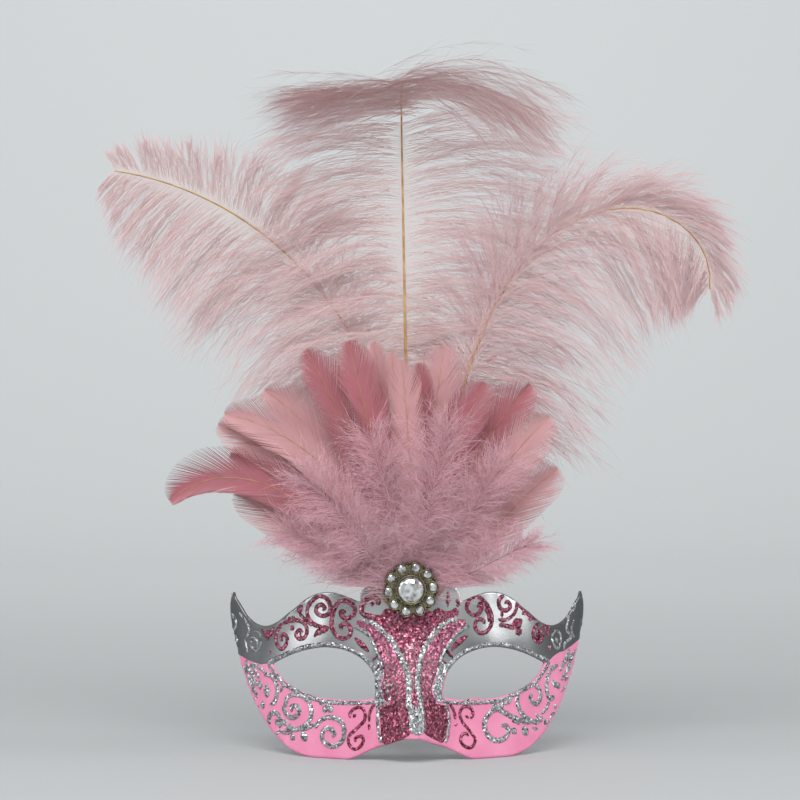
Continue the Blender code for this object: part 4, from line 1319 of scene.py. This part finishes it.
# %% Rose scrolls on the foil, beside the brooch
rose_lines = [
    *strokes("line", 1.36,
             "-33.6 72.8, -36.1 73.1, -35.8 71.3, -33.6 69.7, -29.9 71.9, -29.6 75.6, -33.6 78.4,"
             "-37.4 77.5, -39.3 73.8, -40.5 69.4, -40.5 65, -38.6 61.3, -35.2 59.7, -32.1 61.3,"
             "-31.4 64.4, -33.3 67.2, -36.1 66, -35.5 64",
             "32 75, 34 77, 34 74, 32 71.5, 29.5 71.5, 27 74, 27 77, 29 79.3, 32 80, 35 78.7,"
             "37.5 75.5,"
             "39.3 71.5, 39.5 67.5, 38 64, 35.5 62.3, 33 62.5, 31.3 64.5, 31 67, 32.5 69, 35 68.5,"
             "35.8 66.5"),
    *strokes("line", 0.96, "35 76, 37 73, 38 70, 37.8 67.5"),
    *strokes("line", 1.84, "-17.9 76.4, -18 79.4, -21.1 81, -24.9 78.1, -26.1 75, -26.1 72"),
    *strokes("line", 1.28,
             "21 79.4, 22.5 77.4, 21.5 75.6", "9.5 73, 12 74.2, 13.5 72, 16 72.2, 19 72.4, 20.5 74,"
             "22.5 72.5"),
    *strokes("leaf", 2.02, "-22.2 77, -20.8 77.2, -19.4 77.2", "-27 73, -22 70.6, -18 70,"
             "-13.6 69.4"),
    *strokes("leaf", 4.32, "14.4 79, 17 79.2, 19.6 78.8"),
]

# %% Rose scrolls of the left brow
rose_lines += [
    *strokes("line", 1.28,
             "-42.2 64.7, -46.9 65.2, -50.4 67, -52.5 70.7, -52.1 74.8, -49.8 78.3, -46.3 80.4,"
             "-42.8 79, -41.2 75.3, -42 71.9, -45.1 70.5, -47.9 71.9, -48.1 74.6, -45.6 76.2,"
             "-44 74.6, -45.1 73.1",
             "-64.5 65.6, -60.9 67.1, -56.9 67.6, -53.7 65.9, -52.8 62.3, -54.2 59.2, -56.9 58.6,"
             "-58 60.8, -56.3 63, -54.6 61.9",
             "-64.5 65.6, -66.8 63, -68 59.4, -67.7 55.3, -65.3 52.6, -63 55.1, -62.4 58.7,"
             "-64.2 60.3, -65.6 58.4, -64.6 56.8"),
    *strokes("line", 1.04, "-56.6 71.5, -53.4 68.2, -50.1 65.4"),
    *strokes("leaf", 1.87, "-41.6 65, -45.1 63.5, -48.1 61.6, -49.2 59.7"),
    *strokes("leaf", 2.3, "-54.7 75.7, -56.4 73.2, -57.5 71.3", "-54.7 60.9, -55.7 60.6,"
             "-56.7 60.1"),
    *strokes("leaf", 1.66,
             "-62.1 69.1, -61.4 68.3, -60.6 67.2", "-58.6 70, -59.2 68.9, -59.7 67.5",
             "-60.9 62.3, -60 63.6, -59.2 65.1", "-75.1 62, -73.9 60.3, -72.4 57.3",
             "-71.6 62.7, -71.8 59.5, -72.2 55.9", "-68.8 63.5, -70 61.2, -70.8 58",
             "-71.3 50.8, -70.9 50.5, -70.5 50.1"),
]

# %% Rose scrolls of the right brow
rose_lines += [
    *strokes("line", 1.28,
             "47.5 80.4, 44.4 79.4, 43.3 77.1, 44.1 74.1, 46.7 72.8, 49 73.8, 49.3 75.8, 47.6 77.2,"
             "46.6 76.1",
             "47.5 80.4, 51 78.9, 52.8 75.9, 52.4 72.4, 49.6 69.3, 45.9 68, 42.9 68.8",
             "43.2 65.8, 47.5 65.1, 52.1 63.5",
             "65.9 65.4, 63 63.2, 61.8 59.8, 63.6 56.3, 66.5 56.4, 67.6 59.3, 65.9 61.8,"
             "64.2 60.2"),
    *strokes("line", 1.6,
             "52.6 76.8, 55.6 73.5, 59 70.4, 62.4 68, 65.9 65.7, 69.3 63.6, 72.1 61.8"),
    *strokes("leaf", 2.3, "43.8 70.4, 45 70.8, 46.2 70.5", "52.1 63.5, 54.4 61.8, 55.6 63.2"),
    *strokes("leaf", 3.17, "49.9 65.5, 53.3 65.8, 56.2 67.9", "63.3 58.5, 64.8 58.8, 66.2 58"),
    *strokes("leaf", 1.58,
             "55.6 70.5, 57.1 71, 59 71.2", "59.2 67.4, 60.4 67.7, 61.8 67.2", "67 64.2, 69.2 62.6,"
             "71.7 61.2",
             "70.5 61.3, 70.3 59.5, 69.9 57.5", "70.5 53.8, 71.3 52.6, 72.1 51.4"),
]
piped("piping_rose", rose_lines, rose_glitter)

# %% Crimson strokes: down the sides of the nose and the two scrolls of the lower cheeks
crimson_lines = [
    *strokes("leaf", 1.7, "-29.5 60.5, -26 57, -22.5 53.5", "27 61.5, 23.5 59, 20.5 56.5, 18.5 54"),
    *strokes("leaf", 2.2, "-20.6 51, -20 50.5, -19.2 49.6", "-18.4 46.8, -17.8 46, -17.2 45.2",
             "15.2 49.4, 14.7 48.7, 14.2 48"),
    *strokes("leaf", 3.2, "18.8 53.6, 17.5 52.5, 16.4 51.6"),
    *strokes("line", 1.0,
             "-31.8 20.6, -32 22.5, -30.2 25, -26.8 25.9, -24.8 23.8, -24.8 20, -26.8 17.5,"
             "-29.9 14.4,"
             "-32.4 11.9, -32.7 8.1, -30.2 5.3, -27.4 6.3, -25.5 9.4, -26.4 11.9, -29.3 10.9,"
             "-29.3 8.8",
             "-19.5 28, -21.5 25.5, -22.6 22, -22.5 19", "-22.7 18, -22.6 15",
             "28 20, 29.3 22, 28.8 24.5, 27 26, 24.5 26, 22.8 24, 22.8 21, 24.3 18, 26.5 15.5,"
             "28.7 12.5,"
             "30.3 10, 29.5 7, 27.5 5.8, 25 6.7, 23 9, 23.5 12, 25.5 13, 27 11.5",
             "17 28, 19 25.5, 20 22.5, 20.3 20"),
    *strokes("leaf", 1.5, "20.2 18, 20.5 17.5, 20.9 16.8", "-30.6 22.6, -29.8 21.8, -29 21",
             "27 21.6, 26.2 21, 26 20.2"),
]
piped("piping_crimson", crimson_lines, crimson_glitter)

# %% Two small silver flowers at the inner corner of the left eye
flowers = [
    *strokes("leaf", 2.6, "-14.8 36.5, -13.8 36.5, -12.8 36.5", "-13.4 31, -12.5 31, -11.6 31"),
    *strokes("leaf", 1.6, "-16 37.6, -15.2 38.4, -14 38.8", "-12.8 38.6, -11.8 38, -11.6 36.6",
             "-12.2 34.8, -13.4 34.4, -14.8 34.8", "12.2 31.8, 11 31, 10.2 32"),
]
piped("piping_flowers", flowers, silver_glitter)

# %% [markdown]
# ## The brooch
# The brooch is a cast ring of cups on a plate, in brass that was blackened and rubbed back, so its
# rims shine and its hollows stay dark. Every part of it is round, so each is a profile turned with
# spin. Claws and beads are small spheres, as on the real casting, where they are raised with a
# punch.

# %% Antiqued brass: blackened in the hollows, rubbed bright on the rims and beads
AGED_PATCH = 1.4 * MM
aged_brass = new_finish("antiqued_brass", {"Metallic": 1.0})
place = add_node(aged_brass, "ShaderNodeTexCoord", {}).outputs["Object"]
patchy = add_node(aged_brass, "ShaderNodeTexNoise", {
    "Vector": place, "Scale": 1 / AGED_PATCH, "Detail": 4,
})
edges = add_node(aged_brass, "ShaderNodeNewGeometry", {}).outputs["Pointiness"]
worn = add_node(aged_brass, "ShaderNodeMapRange", {
    "Value": edges, "From Min": 0.46, "From Max": 0.56, "To Min": 0.0, "To Max": 0.75,
})
rubbed = add_node(aged_brass, "ShaderNodeMath", {
    0: patchy.outputs["Fac"], 1: 0.5, 2: worn.outputs["Result"],
}, operation="MULTIPLY_ADD").outputs["Value"]
BRASS = [(0.3, "37332A"), (0.85, "D8D0B4"), (0.55, "8F8870")]
tint = add_node(aged_brass, "ShaderNodeValToRGB", {"Fac": rubbed}, BRASS)
dulled = add_node(aged_brass, "ShaderNodeMapRange", {
    "Value": rubbed, "From Min": 0.3, "From Max": 0.9, "To Min": 0.5, "To Max": 0.2,
})
shade(aged_brass, {"Base Color": tint.outputs["Color"], "Roughness": dulled.outputs["Result"]})

# %% Crystal with foil behind it: what the eye gets is mostly the foil, seen through the facets; its light and dark facets are painted into the colour
FACET_SHADE = 2.5 * MM
crystal = new_finish("foil_backed_crystal", {
    "Metallic": 0.85, "Roughness": 0.05, "Coat Weight": 1.0, "Coat Roughness": 0.02,
})
place = add_node(crystal, "ShaderNodeTexCoord", {}).outputs["Object"]
painted_facet_light = add_node(crystal, "ShaderNodeTexNoise", {
    "Vector": place, "Scale": 1 / FACET_SHADE, "Detail": 1,
})
# Painted reflection: patches of noise turn the stone's colour from grey to near white, standing in
# for facets that catch or miss the light.
tint = add_node(
    crystal, "ShaderNodeValToRGB", {"Fac": painted_facet_light.outputs["Fac"]},
    [(0.3, "8B8785"), (0.62, "F1F2F3")],
)
shade(crystal, {"Base Color": tint.outputs["Color"]})

# %% Turning profiles about the brooch's own axis
BROOCH_BACK = DOWN_FOOT_Y - QUILL / 2 - GAP
RING_RADIUS = 11 * MM
CUP_COUNT = 10
CUP_TURN = 6
CENTRE_STONE = 13 * MM
SMALL_STONE = 4.3 * MM


def at_brooch(x, up, forward):
    return STAND + Vector((x, BROOCH_BACK - forward, BROOCH_HEIGHT + up))


def turned(bm, profile, x, up, steps):
    """A closed profile of (radius, forward) millimetres, turned about an axis through x and up."""
    places = [at_brooch(x + radius * MM, up, forward * MM) for radius, forward in profile]
    verts = [bm.verts.new(place) for place in places]
    edges = [bm.edges.new(pair) for pair in zip(verts, verts[1:])]
    bmesh.ops.spin(
        bm, geom=[*verts, *edges], cent=at_brooch(x, up, 0), axis=(0, 1, 0),
        angle=2 * math.pi, steps=steps, use_merge=True,
    )


def bead(bm, x, up, forward, radius, detail=1):
    made = bmesh.ops.create_icosphere(bm, subdivisions=detail, radius=radius)
    bmesh.ops.translate(bm, verts=made["verts"], vec=at_brooch(x, up, forward))


def ring_place(index, turn=CUP_TURN, radius=RING_RADIUS):
    angle = math.radians(turn + 360 * index / CUP_COUNT)
    return radius * math.cos(angle), radius * math.sin(angle)


# %% Plate, cups, claws and beads
PLATE = ((0, 0), (12.1, 0), (12.5, 0.4), (12.3, 0.9), (11.6, 1.2), (0, 1.2))
BEZEL = (
    (0, 0.6), (6.6, 0.6), (7.5, 0.7), (7.3, 1.8), (6.95, 3.2), (7.05, 4.7), (7.3, 5.1),
    (7.25, 5.35), (7.0, 5.4), (6.8, 5.2), (6.75, 4.3), (5.4, 3.2), (0, 1.9),
)
CUP = (
    (0, 0.4), (2.9, 0.4), (3.15, 0.7), (2.85, 1.3), (2.65, 2.2), (2.75, 3.0), (2.9, 3.2),
    (2.85, 3.4), (2.65, 3.45), (2.45, 3.3), (2.4, 2.9), (1.8, 2.2), (0, 1.7),
)
CLAW_RING = 2.35 * MM
CLAW_SIZE = 0.42 * MM
CLAW_TOP = 3.45 * MM
BEADS = ((12.9, 0.8, 1.6), (13.3, 0.5, 2.6), (8.4, 0.62, 2.4))  # ring, radius and height of each
bm = bmesh.new()
turned(bm, PLATE, 0, 0, 48)
turned(bm, BEZEL, 0, 0, 48)
for index in range(CUP_COUNT):
    x, up = ring_place(index)
    turned(bm, CUP, x, up, 20)
    for claw in range(4):
        angle = math.radians(CUP_TURN + 36 * index + 45 + 90 * claw)
        out, over = CLAW_RING * math.cos(angle), CLAW_RING * math.sin(angle)
        bead(bm, x + out, up + over, CLAW_TOP, CLAW_SIZE)
    for radius, size, forward in BEADS:
        x, up = ring_place(index, CUP_TURN + 18, radius * MM)
        bead(bm, x, up, forward * MM, size * MM, 2)
bmesh.ops.remove_doubles(bm, verts=bm.verts, dist=0.01 * MM)
bmesh.ops.recalc_face_normals(bm, faces=bm.faces)
setting = piece("brooch_cups", bm, aged_brass)
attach(setting, "root")
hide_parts("brooch_setting")

# %% Cut stones: rings of points under one convex skin
STONE_RINGS = (
    # share of the radius out, share of the radius forward, points per side, turned by half a step
    (0.56, 0.36, 1, 0), (0.82, 0.25, 1, 1), (1.0, 0.08, 2, 0), (1.0, 0.0, 2, 0),
    (0.55, -0.25, 1, 1), (0.04, -0.36, 1, 0),
)


def cut_stone(bm, x, up, width, seat, sides):
    radius, corners = width / 2, []
    for out, forward, per_side, half_turn in STONE_RINGS:
        count = sides * per_side
        for corner in range(count):
            angle = 2 * math.pi * (corner + half_turn / 2) / count
            spot = (x + out * radius * math.cos(angle), up + out * radius * math.sin(angle))
            corners.append(bm.verts.new(at_brooch(*spot, seat + forward * radius)))
    bmesh.ops.convex_hull(bm, input=corners)


CENTRE_SEAT = (5.4 - 0.16 * 6.5) * MM  # a stone's girdle lies below the rim by this share of it
SMALL_SEAT = (3.4 - 0.16 * 2.15) * MM
bm = bmesh.new()
cut_stone(bm, 0, 0, CENTRE_STONE, CENTRE_SEAT, 12)
centre = piece("centre_crystal", bm, crystal, smooth=False)
bm = bmesh.new()
for index in range(CUP_COUNT):
    cut_stone(bm, *ring_place(index), SMALL_STONE, SMALL_SEAT, 6)
ring = piece("small_crystals", bm, crystal, smooth=False)
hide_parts("centre_stone")
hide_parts(*(f"small_stone_{index + 1:02d}" for index in range(CUP_COUNT)))
for made in (centre, ring):
    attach(made, "root")
